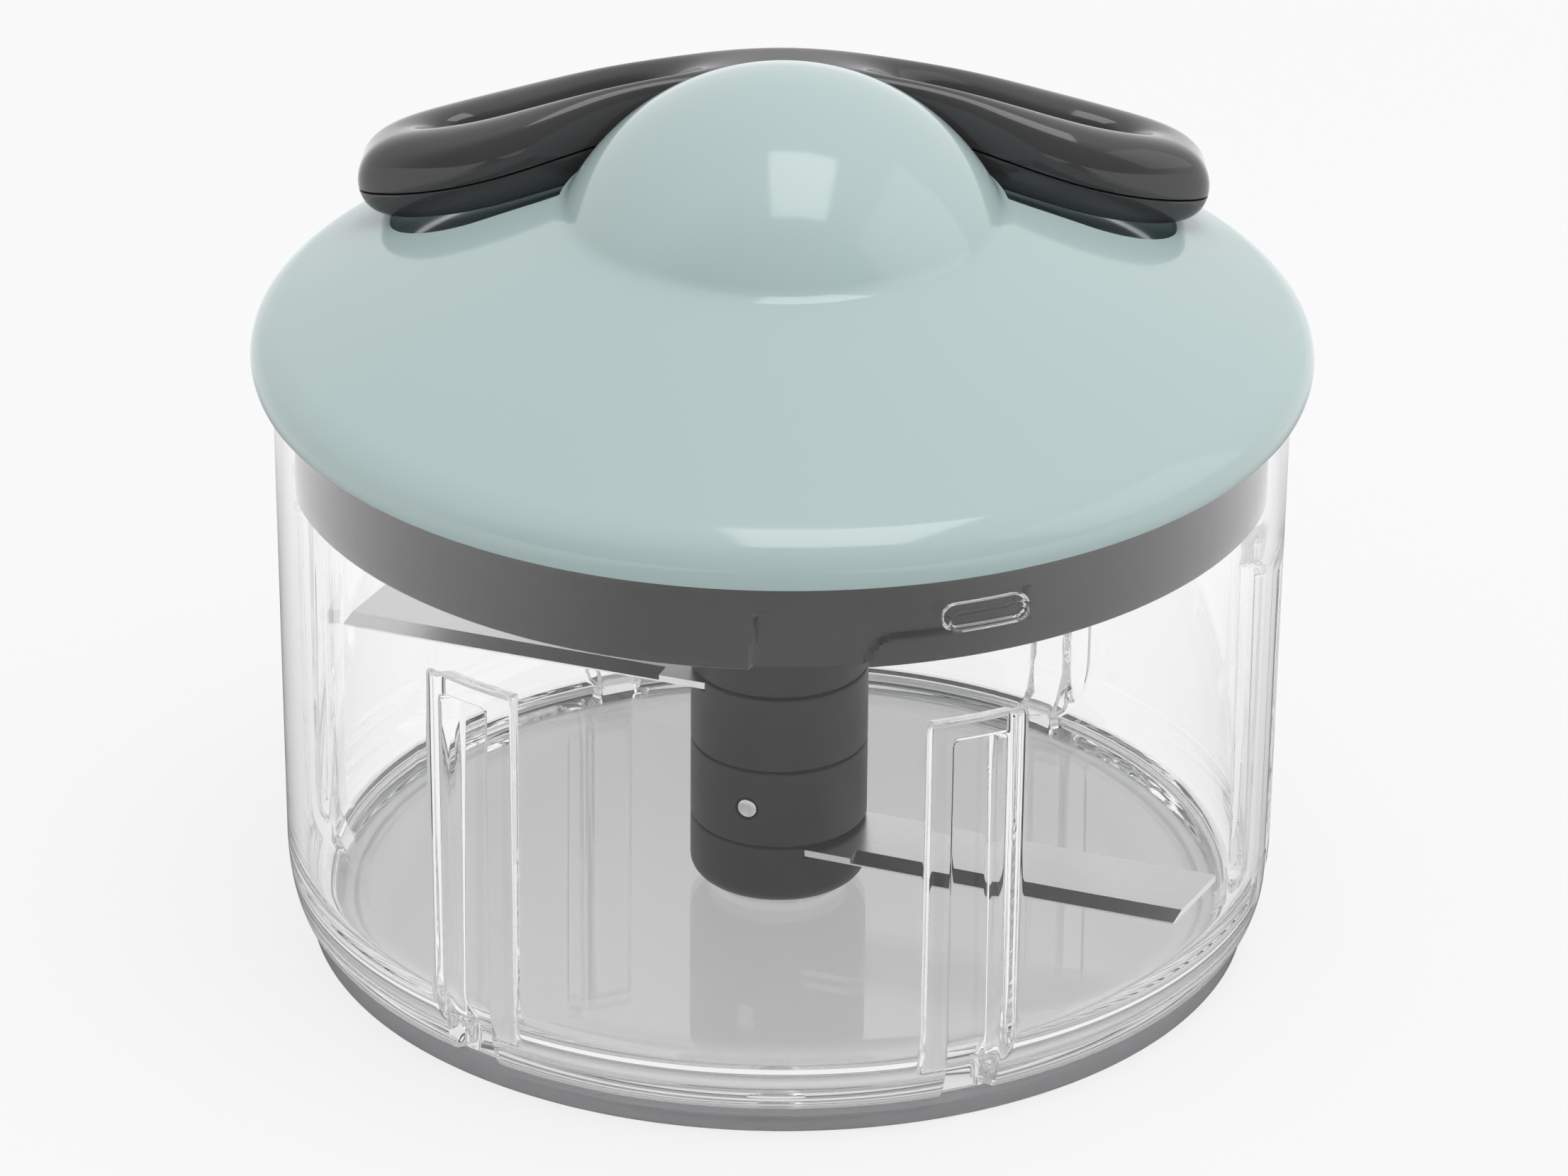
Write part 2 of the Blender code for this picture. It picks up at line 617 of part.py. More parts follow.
def make_blade(name, seam, angle, lead, trail):
    """Steel blade: a round hub with one straight arm, ground to an edge on its leading side."""
    hub = BLADE_HUB_RADIUS
    start = math.degrees(math.asin(lead / hub))
    end = 360.0 - math.degrees(math.asin(trail / hub))
    outline = [(hub * math.cos(math.radians(start + (end - start) * i / 24)),
                hub * math.sin(math.radians(start + (end - start) * i / 24))) for i in range(25)]
    outline += [(BLADE_LENGTH - BLADE_TIP_SLANT, -trail), (BLADE_LENGTH, lead)]
    bore = [(CORE_BORE * math.cos(math.radians(a)), CORE_BORE * math.sin(math.radians(a)))
            for a in range(0, 360, 15)]
    z = seam - SEAT_GAP / 2 - SEAT_GAP - BLADE_THICKNESS / 2
    blade = flat_outline(name, [outline, bore], BLADE_THICKNESS, z, parts, steel)
    grind = block(name + "_grind", (hub + GRIND_START, -CLEAR, 0), (BLADE_LENGTH + CLEAR, CLEAR, CLEAR),
                  cutters)
    sharp = lead if lead > trail else -trail
    slope = math.atan2(BLADE_THICKNESS * 0.75, GRIND_WIDTH)
    tilt = -slope if sharp > 0 else slope
    place = Matrix.Translation((0, sharp, z - BLADE_THICKNESS / 4))
    grind.data.transform(place @ Matrix.Rotation(tilt, 4, "X"))
    turn = Matrix.Rotation(math.radians(angle), 4, "Z")
    grind.data.transform(turn)
    blade.data.transform(turn)
    cut(blade, grind)
    return blade


def cover_outside():
    """Outer side of the lid's cover, from the top of the dome down to the lip."""
    foot_turn = math.degrees(math.acos(DOME_FOOT_RADIUS / DOME_RADIUS))
    profile = arc((0, DOME_CENTRE_Z), DOME_RADIUS, 90, foot_turn, 9)
    profile += [(DOME_FOOT_RADIUS + DOME_FILLET_OUT, CONE_TOP_Z + DOME_FILLET_UP),
                (CONE_TOP_RADIUS, CONE_TOP_Z)]
    middle = (CONE_TOP_RADIUS + SHOULDER_RADIUS) / 2
    profile += [(middle, CONE_TOP_Z - (middle - CONE_TOP_RADIUS) * CONE_SLOPE + CONE_CROWN)]
    profile += [(SHOULDER_RADIUS, SHOULDER_Z), (LID_RADIUS - RIM_ROUND_IN, SHOULDER_Z - RIM_ROUND_DOWN),
                (LID_RADIUS, LID_RIM_Z), (LID_RADIUS - LIP_ROUND_IN, LIP_Z + LIP_ROUND_UP),
                (LID_RADIUS - LIP_STEP_IN, LIP_Z)]
    return profile


def cone_height(radius):
    return CONE_TOP_Z - (radius - CONE_TOP_RADIUS) * CONE_SLOPE


def scoop_space(name, depth, grow):
    """Room for the fingers beside and under the handle's arms, outside the dome."""
    inner = DOME_FOOT_RADIUS + SCOOP_STEP_OUT - grow
    outer = SHOULDER_RADIUS
    floor = [(inner, cone_height(inner) - depth), (outer, cone_height(outer) - depth)]
    top = DOME_TOP + CLEAR
    profile = [(inner, top), (outer, top), floor[1], floor[0]]
    space = turned(name, profile, cutters, None, FINE, closed=True)
    corner = SCOOP_CORNER + grow
    right = SCOOP_HALF_LENGTH - SCOOP_CORNER
    outline = []
    for x, y, start in ((right, SCOOP_FRONT + SCOOP_CORNER, -90), (right, SCOOP_BACK - SCOOP_CORNER, 0),
                        (-right, SCOOP_BACK - SCOOP_CORNER, 90), (-right, SCOOP_FRONT + SCOOP_CORNER, 180)):
        outline += arc((x, y), corner, start, start + 90, 6)
    limit = flat_outline(name + "_plan", [outline], 3 * DOME_TOP, DOME_TOP, cutters)
    keep_common(space, limit)
    return space


def nest_space(name, grow):
    """Room for the handle's bar behind the dome, open upwards and to the back."""
    back = LID_RADIUS - HANDLE_Y
    return bent_block(name, -BAR_HALF_WIDTH - HANDLE_GAP - grow, back,
                      -BAR_HALF_HEIGHT - HANDLE_GAP - grow, DOME_RADIUS, NEST_HALF_LENGTH + grow, 10,
                      NEST_BOW, edge=NEST_FILLET + grow)


def make_cover():
    outside = cover_outside()
    cover = turned("lid_cover", outside + [(0, LIP_Z)], parts, mint_plastic)
    wall = COVER_WALL
    foot = DOME_FOOT_RADIUS - HOLLOW_STEP_IN
    foot_turn = math.degrees(math.acos(foot / DOME_RADIUS))
    inside = arc((0, DOME_CENTRE_Z), DOME_RADIUS - wall, 90, foot_turn, 5)
    rim_inside = LID_RADIUS - wall - RIM_ROUND_IN
    inside += [(CONE_TOP_RADIUS, CONE_TOP_Z - wall - DOME_FILLET_UP / 2),
               (SHOULDER_RADIUS - RIM_ROUND_DOWN, SHOULDER_Z - wall), (rim_inside, LID_RIM_Z),
               (LID_RADIUS - wall - LIP_STEP_IN, LIP_Z - MM), (0, LIP_Z - MM)]
    hollow = turned("cover_hollow", inside, cutters)
    cut(hollow, scoop_space("scoop_liner", SCOOP_DEPTH + wall, wall))
    cut(hollow, nest_space("nest_liner", LINER_WALL))
    cut(cover, hollow)
    cut(cover, scoop_space("scoop", SCOOP_DEPTH, 0.0))
    cut(cover, nest_space("nest", 0.0))
    add_axle_boss(cover)
    eyelet_hole = rod("eyelet_hole", EYELET_RADIUS + SEAT_GAP, (0, nest_wall_y() - 3 * COVER_WALL, CORD_Z),
                      (0, HANDLE_Y, CORD_Z), cutters)
    cut(cover, eyelet_hole)
    return smooth_shading(cover)


def add_axle_boss(cover):
    """Blind boss under the dome that holds the axle's head."""
    top = DOME_TOP - COVER_WALL / 2
    boss = ring("axle_boss", AXLE_RADIUS + SEAT_GAP, AXLE_RADIUS + COVER_WALL, AXLE_TOP - COVER_WALL, top,
                cutters, None, SMALL)
    join(cover, boss)


def nest_wall_y():
    return HANDLE_Y - BAR_HALF_WIDTH - HANDLE_GAP


def make_housing():
    """Dark lower half of the lid: plug ring with bayonet tracks, floor, flange and the reel's tower."""
    floor_top = LID_FLOOR_Z + LID_FLOOR
    inside = PLUG_RADIUS - PLUG_WALL
    flange_bottom = BOWL_TOP + SEAT_GAP
    flange_top = flange_bottom + FLANGE_THICKNESS
    flange_outer = LID_RADIUS - COVER_WALL - LIP_STEP_IN - SEAT_GAP
    tower_top = CASE_Z - SEAT_GAP
    tower_inner = TOWER_RADIUS - TOWER_WALL
    bush_hole = SOCKET_RADIUS + RUN_GAP + BUSH_WALL + SEAT_GAP
    profile = [(inside - FLANGE_STEP_IN, flange_top), (flange_outer, flange_top),
               (flange_outer, flange_bottom), (PLUG_RADIUS, flange_bottom),
               (PLUG_RADIUS, PLUG_BOTTOM + PLUG_EDGE_BREAK),
               (PLUG_RADIUS - PLUG_EDGE_BREAK, PLUG_BOTTOM), (inside, PLUG_BOTTOM), (inside, LID_FLOOR_Z),
               (bush_hole, LID_FLOOR_Z), (bush_hole, floor_top), (tower_inner, floor_top),
               (tower_inner, tower_top), (TOWER_RADIUS, tower_top), (TOWER_RADIUS, floor_top),
               (inside - FLANGE_STEP_IN, floor_top)]
    housing = turned("lid_housing", profile, parts, dark_plastic, closed=True)
    add_tracks(housing)
    for i in range(SCREW_COUNT):
        hole = rod(f"tower_hole_{i + 1}", SCREW_RADIUS + SEAT_GAP,
                   screw_place(i, CASE_Z - SCREW_LENGTH), screw_place(i, CASE_Z + MM), cutters, segments=12)
        cut(housing, hole)
    return smooth_shading(housing)


def add_tracks(housing):
    """Three L-shaped bayonet tracks: a slanted way in from below, then a level run."""
    lug_half = math.degrees((LUG_LENGTH / 2 + TRACK_GAP) / PLUG_RADIUS)
    end = LUG_ANGLE + lug_half
    way_in = LUG_ANGLE - TWIST_ANGLE
    top = LUG_Z + LUG_HEIGHT / 2 + TRACK_GAP
    bottom = LUG_Z - LUG_HEIGHT / 2 - TRACK_GAP
    mouth = PLUG_BOTTOM - 1.0 * MM
    lean = 1.0
    outline = [(way_in - lug_half - lean, mouth), (way_in + lug_half + lean, mouth),
               (way_in + lug_half + lean, PLUG_BOTTOM + 0.8 * MM), (way_in + lug_half + 3 * lean, bottom),
               (end, bottom), (end, top), (way_in - lug_half, top),
               (way_in - lug_half, bottom), (way_in - lug_half - lean, PLUG_BOTTOM + 0.8 * MM)]
    floor = MOUTH_INSIDE - LUG_DEPTH - TRACK_GAP
    for i in range(LUG_COUNT):
        track = wrapped_prism(f"track_{i + 1}", outline, floor, PLUG_RADIUS + MM, 8.0)
        cut(housing, turn_to(track, 360.0 * i / LUG_COUNT))


def screw_place(i, z):
    return polar((CASE_RADIUS + TOWER_RADIUS) / 2 + 0.6 * MM, 60.0 + 360.0 * i / SCREW_COUNT, z)


def make_bush():
    inner = SOCKET_RADIUS + RUN_GAP
    outer = inner + BUSH_WALL
    floor_top = LID_FLOOR_Z + LID_FLOOR + SEAT_GAP
    top = SOCKET_CUP_Z - SEAT_GAP
    profile = [(inner, top), (outer, top), (outer, floor_top + BUSH_FLANGE_HEIGHT),
               (outer + BUSH_FLANGE, floor_top + BUSH_FLANGE_HEIGHT), (outer + BUSH_FLANGE, floor_top),
               (outer, floor_top), (outer, LID_FLOOR_Z), (inner, LID_FLOOR_Z)]
    return smooth_shading(turned("drive_bush", profile, parts, pale_plastic, MEDIUM, closed=True))


def make_drive_socket():
    """Turned socket that takes the blade unit's hexagon and carries the ratchet cup."""
    cup_top = SOCKET_CUP_Z + SOCKET_CUP_HEIGHT
    inner = SOCKET_CUP_RADIUS - SOCKET_CUP_WALL
    floor_top = SOCKET_CUP_Z + SOCKET_FLOOR
    profile = [(0, floor_top + BOSS_HEIGHT), (BOSS_RADIUS, floor_top + BOSS_HEIGHT),
               (BOSS_RADIUS, floor_top), (inner, floor_top), (inner, cup_top),
               (SOCKET_CUP_RADIUS, cup_top), (SOCKET_CUP_RADIUS, SOCKET_CUP_Z), (SOCKET_RADIUS, SOCKET_CUP_Z),
               (SOCKET_RADIUS, LID_FLOOR_Z), (0, LID_FLOOR_Z)]
    socket = turned("drive_socket", profile, parts, pale_plastic, MEDIUM)
    depth = COLUMN_TOP + SEAT_GAP + HEX_LENGTH + SEAT_GAP
    corner = HEX_RADIUS + RUN_GAP
    hexagon = turned("socket_hex", [(0, depth), (corner, depth), (corner, 0), (0, 0)],
                     cutters, None, 6)
    cut(socket, hexagon)
    bore = disc("axle_seat", AXLE_RADIUS + RUN_GAP, AXLE_BOTTOM - SEAT_GAP, cup_top, cutters, segments=SMALL)
    cut(socket, bore)
    join(socket, ratchet_teeth(inner))
    return smooth_shading(socket, 25.0)


def ratchet_teeth(inner):
    """Ring of saw teeth round the inside of the cup."""
    outline = []
    for i in range(RATCHET_TEETH):
        base = 360.0 * i / RATCHET_TEETH
        for turn, radius in ((0.0, inner - RATCHET_DEPTH), (360.0 / RATCHET_TEETH - 4.0, inner - 0.2 * MM)):
            angle = math.radians(base + turn)
            outline.append((radius * math.cos(angle), radius * math.sin(angle)))
    rim = [((inner + 0.5 * MM) * math.cos(math.radians(a)), (inner + 0.5 * MM) * math.sin(math.radians(a)))
           for a in range(0, 360, 12)]
    height = SOCKET_CUP_HEIGHT - SOCKET_FLOOR - 0.6 * MM
    z = SOCKET_CUP_Z + SOCKET_FLOOR + height / 2 - 0.1 * MM
    return flat_outline("ratchet_ring", [rim, outline], height, z, cutters)


def make_reel():
    """Cord reel: two flanges, a core and a hub that goes down through the spring to the pawls."""
    bore = AXLE_RADIUS + RUN_GAP
    top = REEL_Z + REEL_WIDTH
    hub_bottom = SOCKET_CUP_Z + SOCKET_FLOOR + BOSS_HEIGHT + SEAT_GAP
    profile = [(bore, top), (REEL_RADIUS, top), (REEL_RADIUS, top - REEL_FLANGE),
               (REEL_CORE, top - REEL_FLANGE),
               (REEL_CORE, REEL_Z + REEL_FLANGE), (REEL_RADIUS, REEL_Z + REEL_FLANGE), (REEL_RADIUS, REEL_Z),
               (REEL_HUB, REEL_Z), (REEL_HUB, hub_bottom), (bore, hub_bottom)]
    reel = turned("cord_reel", profile, parts, pale_plastic, MEDIUM, closed=True)
    return smooth_shading(reel)


def make_pawls():
    """Two clutch pawls that lean out from the reel's hub into the ratchet."""
    hub = REEL_HUB + SEAT_GAP
    reach = SOCKET_CUP_RADIUS - SOCKET_CUP_WALL - RATCHET_DEPTH - 0.25 * MM
    z = SOCKET_CUP_Z + SOCKET_FLOOR + BOSS_HEIGHT + SEAT_GAP + PAWL_HEIGHT / 2
    for i in range(2):
        start = 30.0
        inner = [(hub * math.cos(math.radians(a)), hub * math.sin(math.radians(a)))
                 for a in (start, start + 25, start + 50, start + 75)]
        outer = [(reach * math.cos(math.radians(start + 90)), reach * math.sin(math.radians(start + 90))),
                 ((reach - 0.8 * MM) * math.cos(math.radians(start + 78)),
                  (reach - 0.8 * MM) * math.sin(math.radians(start + 78))),
                 ((hub + 2.0 * MM) * math.cos(math.radians(start + 40)),
                  (hub + 2.0 * MM) * math.sin(math.radians(start + 40))),
                 ((hub + 1.6 * MM) * math.cos(math.radians(start)),
                  (hub + 1.6 * MM) * math.sin(math.radians(start)))]
        pawl = flat_outline(f"clutch_pawl_{i + 1}", [inner + outer], PAWL_HEIGHT, z, parts, steel)
        pawl.data.transform(Matrix.Rotation(math.pi * i, 4, "Z"))


def make_winding():
    bottom = REEL_Z + REEL_FLANGE + SEAT_GAP
    top = REEL_Z + REEL_WIDTH - REEL_FLANGE - SEAT_GAP
    inner = REEL_CORE + SEAT_GAP
    outer = inner + WINDING_DEPTH
    bulge = (top - bottom) / 2
    profile = [(inner, top)] + arc((outer - 0.8 * MM, (top + bottom) / 2), 0.8 * MM, 90, -90, 6, height=bulge)
    profile += [(inner, bottom)]
    return smooth_shading(turned("cord_winding", profile, parts, cord_grey, MEDIUM, closed=True))


def make_spring():
    """Flat spiral spring on its edge, from the reel's hub out to the case."""
    steps = int(SPRING_TURNS * 16)
    half = SPRING_THICKNESS / 2
    inner_side = []
    outer_side = []
    for i in range(steps + 1):
        share = i / steps
        turn = 2 * math.pi * SPRING_TURNS * share
        radius = SPRING_INNER + (SPRING_OUTER - SPRING_INNER) * share
        outer_side.append(((radius + half) * math.cos(turn), (radius + half) * math.sin(turn)))
        inner_side.append(((radius - half) * math.cos(turn), (radius - half) * math.sin(turn)))
    outline = outer_side + list(reversed(inner_side))
    bottom = CASE_Z + CASE_FLOOR + SEAT_GAP
    top = CASE_TOP - SEAT_GAP
    return flat_outline("recoil_spring", [outline], top - bottom, (top + bottom) / 2, parts, spring_steel)


def make_case():
    """Spring case on the housing's tower, with a flange for its screws."""
    bore = REEL_HUB + RUN_GAP
    floor_top = CASE_Z + CASE_FLOOR
    inner = CASE_RADIUS - CASE_WALL
    profile = [(bore, floor_top), (inner, floor_top), (inner, CASE_TOP), (CASE_RADIUS, CASE_TOP),
               (CASE_RADIUS, floor_top), (TOWER_RADIUS, floor_top), (TOWER_RADIUS, CASE_Z), (bore, CASE_Z)]
    case = turned("spring_case", profile, parts, pale_plastic, MEDIUM, closed=True)
    for i in range(SCREW_COUNT):
        hole = rod(f"case_hole_{i + 1}", SCREW_RADIUS + SEAT_GAP, screw_place(i, CASE_Z - MM),
                   screw_place(i, floor_top + MM), cutters, segments=12)
        cut(case, hole)
        floor_z = floor_top + SEAT_GAP
        shank = rod(f"case_screw_{i + 1}", SCREW_RADIUS, screw_place(i, CASE_Z - SCREW_LENGTH + SEAT_GAP),
                    screw_place(i, floor_z + SCREW_HEAD / 2), parts, steel, segments=12)
        head = rod(f"screw_head_{i + 1}", SCREW_HEAD_RADIUS, screw_place(i, floor_z),
                   screw_place(i, floor_z + SCREW_HEAD), cutters, segments=16)
        join(shank, head)
    smooth_shading(case)
    bottom = CASE_TOP + SEAT_GAP
    smooth_shading(ring("spring_cap", bore, CASE_RADIUS, bottom, bottom + CAP_THICKNESS, parts, pale_plastic))


def make_axle():
    nose = 0.5 * MM
    profile = [(0, AXLE_TOP), (AXLE_RADIUS - nose, AXLE_TOP), (AXLE_RADIUS, AXLE_TOP - nose),
               (AXLE_RADIUS, AXLE_BOTTOM), (0, AXLE_BOTTOM)]
    return smooth_shading(turned("reel_axle", profile, parts, steel, SMALL))


def make_cord_guide():
    """Eyelet in the nest's wall that the cord runs out through, made along Z and then laid along Y."""
    bore = CORD_RADIUS + RUN_GAP
    wall = LINER_WALL
    flange = 0.5 * MM
    profile = [(bore + 0.4 * MM, flange), (EYELET_FLANGE, flange), (EYELET_FLANGE, SEAT_GAP),
               (EYELET_RADIUS, SEAT_GAP), (EYELET_RADIUS, -wall), (bore + 0.4 * MM, -wall),
               (bore, -wall + 0.6 * MM), (bore, flange - 0.4 * MM)]
    guide = turned("cord_guide", profile, parts, steel, SMALL, closed=True)
    guide.rotation_euler = (-math.pi / 2, 0.0, 0.0)
    guide.location = (0, nest_wall_y(), CORD_Z)
    return smooth_shading(guide)


def make_cord():
    """Lead from the winding's edge through the eyelet to the knot held between the handle's shells."""
    knot_y = HANDLE_Y
    run = REEL_CORE + SEAT_GAP + WINDING_DEPTH + SEAT_GAP + CORD_RADIUS
    eyelet = Vector((0, nest_wall_y() - COVER_WALL, CORD_Z))
    turn = math.acos(run / eyelet.y)
    leave = Vector((run * math.sin(turn), run * math.cos(turn), CORD_Z))
    start = leave + (leave - eyelet) * 0.15
    points = [start, leave.lerp(eyelet, 0.5), leave.lerp(eyelet, 0.85), eyelet + Vector((0, 0.8 * MM, 0)),
              eyelet + Vector((0, 3.0 * MM, 0)), Vector((0, knot_y - KNOT_RADIUS - SEAT_GAP, CORD_Z))]
    curve = bpy.data.curves.new("cord_lead", "CURVE")
    curve.dimensions = "3D"
    curve.bevel_depth = CORD_RADIUS
    curve.bevel_resolution = 2
    curve.use_fill_caps = True
    spline = curve.splines.new("POLY")
    spline.points.add(len(points) - 1)
    for target, point in zip(spline.points, points):
        target.co = (*point, 1.0)
    curve.materials.append(cord_grey)
    parts.objects.link(bpy.data.objects.new("cord_lead", curve))
    mesh = bpy.data.meshes.new("cord_knot")
    shape = bmesh.new()
    bmesh.ops.create_uvsphere(shape, u_segments=12, v_segments=8, radius=KNOT_RADIUS)
    shape.to_mesh(mesh)
    shape.free()
    knot = add_object("cord_knot", mesh, parts, cord_grey)
    knot.location = (0, knot_y, CORD_Z)
    knot.scale = (1.2, 1.0, 0.9)
    smooth_shading(knot)


def handle_cage():
    """Half of the bow handle as a coarse cage.

    Each station gives its place along the half, four rows from front to back in bar half widths, and its
    height in bar half heights. The middle row opens as a slot between the second and the last but one.
    """
    end = HANDLE_HALF_LENGTH
    stations = [
        (0.00, (-0.96, -0.40, 0.40, 1.02), 0.90),
        (0.30, (-1.12, -0.40, 0.50, 1.45), 0.92),
        (0.46, (-1.70, -0.45, 0.85, 2.25), 0.98),
        (0.62, (-2.35, -0.32, 0.62, 2.60), 1.00),
        (0.80, (-2.50, -0.30, 0.66, 2.65), 1.00),
        (1.025, (-1.10, -0.18, 0.60, 1.42), 0.84),
    ]
    shape = bmesh.new()
    grid = {}
    for column, (along, rows, tall) in enumerate(stations):
        x = along * end
        for row, offset in enumerate(rows):
            y = HANDLE_Y + offset * BAR_HALF_WIDTH
            for level in (-1, 1):
                z = handle_surface(x, y) + level * tall * BAR_HALF_HEIGHT
                grid[column, row, level] = shape.verts.new((x, y, z))
    last = len(stations) - 1
    for column in range(last):
        for row in range(3):
            if row == 1 and 1 <= column < last - 1:
                continue
            for level in (-1, 1):
                corners = [grid[column, row, level], grid[column + 1, row, level],
                           grid[column + 1, row + 1, level], grid[column, row + 1, level]]
                shape.faces.new(corners if level > 0 else list(reversed(corners)))
    rims = [e for e in shape.edges if len(e.link_faces) == 1]
    open_edges = [e for e in rims if not all(v.co.x < MM / 10 for v in e.verts)]
    opposite = {vert: grid[key[0], key[1], -key[2]] for key, vert in grid.items()}
    done = set()
    for edge in open_edges:
        a, b = edge.verts
        key = frozenset((a, b, opposite[a], opposite[b]))
        if key in done:
            continue
        done.add(key)
        shape.faces.new([a, b, opposite[b], opposite[a]])
    bmesh.ops.recalc_face_normals(shape, faces=shape.faces[:])
    mesh = bpy.data.meshes.new("handle_form")
    shape.to_mesh(mesh)
    shape.free()
    return mesh


def make_handle():
    """Bow handle in two shells that part under the middle and trap the cord's knot between them."""
    form = add_object("handle_form", handle_cage(), cutters)
    mirror = form.modifiers.new("mirror", "MIRROR")
    mirror.use_axis = (True, False, False)
    mirror.merge_threshold = 0.00005
    rounding = form.modifiers.new("rounding", "SUBSURF")
    rounding.levels = 2
    rounding.render_levels = 2
    whole = evaluated_mesh(form, "handle_whole")
    bpy.data.objects.remove(form)
    length = HANDLE_HALF_LENGTH + CLEAR
    side = NEST_HALF_LENGTH
    tall = 3 * BAR_HALF_HEIGHT
    half_gap = PARTING_GAP / 2
    not_upper = bent_block("under_upper_shell", -side, side, -tall, half_gap - PARTING_DROP, length, 14, 0)
    lower = bent_block("lower_shell_room", -side, side, -tall, -half_gap - PARTING_DROP, length, 14, 0)
    pocket_mesh = bpy.data.meshes.new("knot_pocket")
    shape = bmesh.new()
    bmesh.ops.create_uvsphere(shape, u_segments=12, v_segments=6, radius=KNOT_RADIUS + SEAT_GAP)
    shape.to_mesh(pocket_mesh)
    shape.free()
    pocket = add_object("knot_pocket", pocket_mesh, cutters)
    pocket.location = (0, HANDLE_Y, CORD_Z)
    pocket.scale = (1.2, 1.0, 0.95)
    lead_bore = rod("lead_bore", CORD_RADIUS + SEAT_GAP, (0, nest_wall_y(), CORD_Z), (0, HANDLE_Y, CORD_Z),
                    cutters, segments=12)
    join(pocket, lead_bore)
    upper_shell = add_object("handle_upper", whole.copy(), parts, handle_plastic)
    cut(upper_shell, not_upper)
    lower_shell = add_object("handle_lower", whole.copy(), parts, handle_plastic)
    keep_common(lower_shell, lower)
    for shell in (upper_shell, lower_shell):
        cut(shell, pocket)
        smooth_shading(shell)


for old in list(bpy.data.objects):
    bpy.data.objects.remove(old)

parts = new_collection("food_chopper")
cutters = new_collection("cutters")

clear_plastic = plastic("clear plastic", (0.93, 0.95, 0.95), 0.05, 0.0, 0.3)
smoky_rubber = plastic("smoky rubber", (0.30, 0.30, 0.31), 0.5)
mint_plastic = plastic("mint gloss plastic", (0.48, 0.60, 0.57), 0.12)
dark_plastic = plastic("dark grey plastic", (0.065, 0.062, 0.064), 0.4)
handle_plastic = plastic("dark grey gloss plastic", (0.060, 0.056, 0.058), 0.12)
pale_plastic = plastic("natural plastic", (0.72, 0.72, 0.70), 0.4)
steel = plastic("stainless steel", (0.62, 0.62, 0.63), 0.22, 1.0)
spring_steel = plastic("spring steel", (0.30, 0.31, 0.34), 0.3, 1.0)
cord_grey = plastic("braided cord", (0.10, 0.10, 0.10), 0.8)

make_base_pad()
make_bowl()
make_pivot_pin()
make_foot_washer()
make_spindle()
make_column()
make_blade("upper_blade", UPPER_SEAM, UPPER_BLADE_ANGLE, BLADE_TRAIL, BLADE_LEAD)
make_blade("lower_blade", LOWER_SEAM, LOWER_BLADE_ANGLE, BLADE_LEAD, BLADE_TRAIL)
make_blade_pin()
make_cover()
make_housing()
make_bush()
make_drive_socket()
make_reel()
make_pawls()
make_winding()
make_spring()
make_case()
make_axle()
make_cord_guide()
make_cord()
make_handle()
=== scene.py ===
import math

import bmesh
import bpy
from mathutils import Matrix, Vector


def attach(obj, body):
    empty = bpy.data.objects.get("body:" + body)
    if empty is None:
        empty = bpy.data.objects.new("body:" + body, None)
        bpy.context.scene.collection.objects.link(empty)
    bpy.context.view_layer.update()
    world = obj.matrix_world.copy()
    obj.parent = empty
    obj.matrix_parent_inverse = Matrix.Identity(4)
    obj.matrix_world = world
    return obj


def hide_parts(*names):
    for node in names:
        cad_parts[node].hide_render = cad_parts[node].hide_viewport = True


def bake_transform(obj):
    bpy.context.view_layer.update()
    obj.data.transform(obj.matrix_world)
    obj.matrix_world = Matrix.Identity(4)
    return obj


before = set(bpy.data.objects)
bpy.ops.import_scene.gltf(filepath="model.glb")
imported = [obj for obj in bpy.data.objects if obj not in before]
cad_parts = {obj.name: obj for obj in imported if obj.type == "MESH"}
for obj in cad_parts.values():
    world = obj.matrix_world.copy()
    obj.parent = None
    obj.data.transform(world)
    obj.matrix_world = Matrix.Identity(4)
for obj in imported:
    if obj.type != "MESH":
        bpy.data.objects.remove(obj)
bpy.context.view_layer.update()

mm = 0.001
# places nearer than this, in metres, are the same place
hair = 1e-6


# hand tools

def clearSelection():
    if bpy.context.object and bpy.context.object.mode != "OBJECT":
        bpy.ops.object.mode_set(mode="OBJECT")
    bpy.ops.object.select_all(action="DESELECT")


def pick(piece, test):
    # edit mode: leaves only the vertices that pass the test selected
    bpy.ops.mesh.select_mode(type="VERT")
    form = bmesh.from_edit_mesh(piece.data)
    for vertex in form.verts:
        vertex.select = test(vertex.co)
    form.select_flush_mode()
    bmesh.update_edit_mesh(piece.data)


def applyLast(piece):
    bpy.ops.object.modifier_apply(modifier=piece.modifiers[-1].name)


def makeActive(piece):
    clearSelection()
    piece.select_set(True)
    bpy.context.view_layer.objects.active = piece


def closeUp(piece, threshold=0.002 * mm):
    makeActive(piece)
    bpy.ops.object.mode_set(mode="EDIT")
    bpy.ops.mesh.select_all(action="SELECT")
    bpy.ops.mesh.remove_doubles(threshold=threshold)
    bpy.ops.mesh.normals_make_consistent(inside=False)
    bpy.ops.object.mode_set(mode="OBJECT")


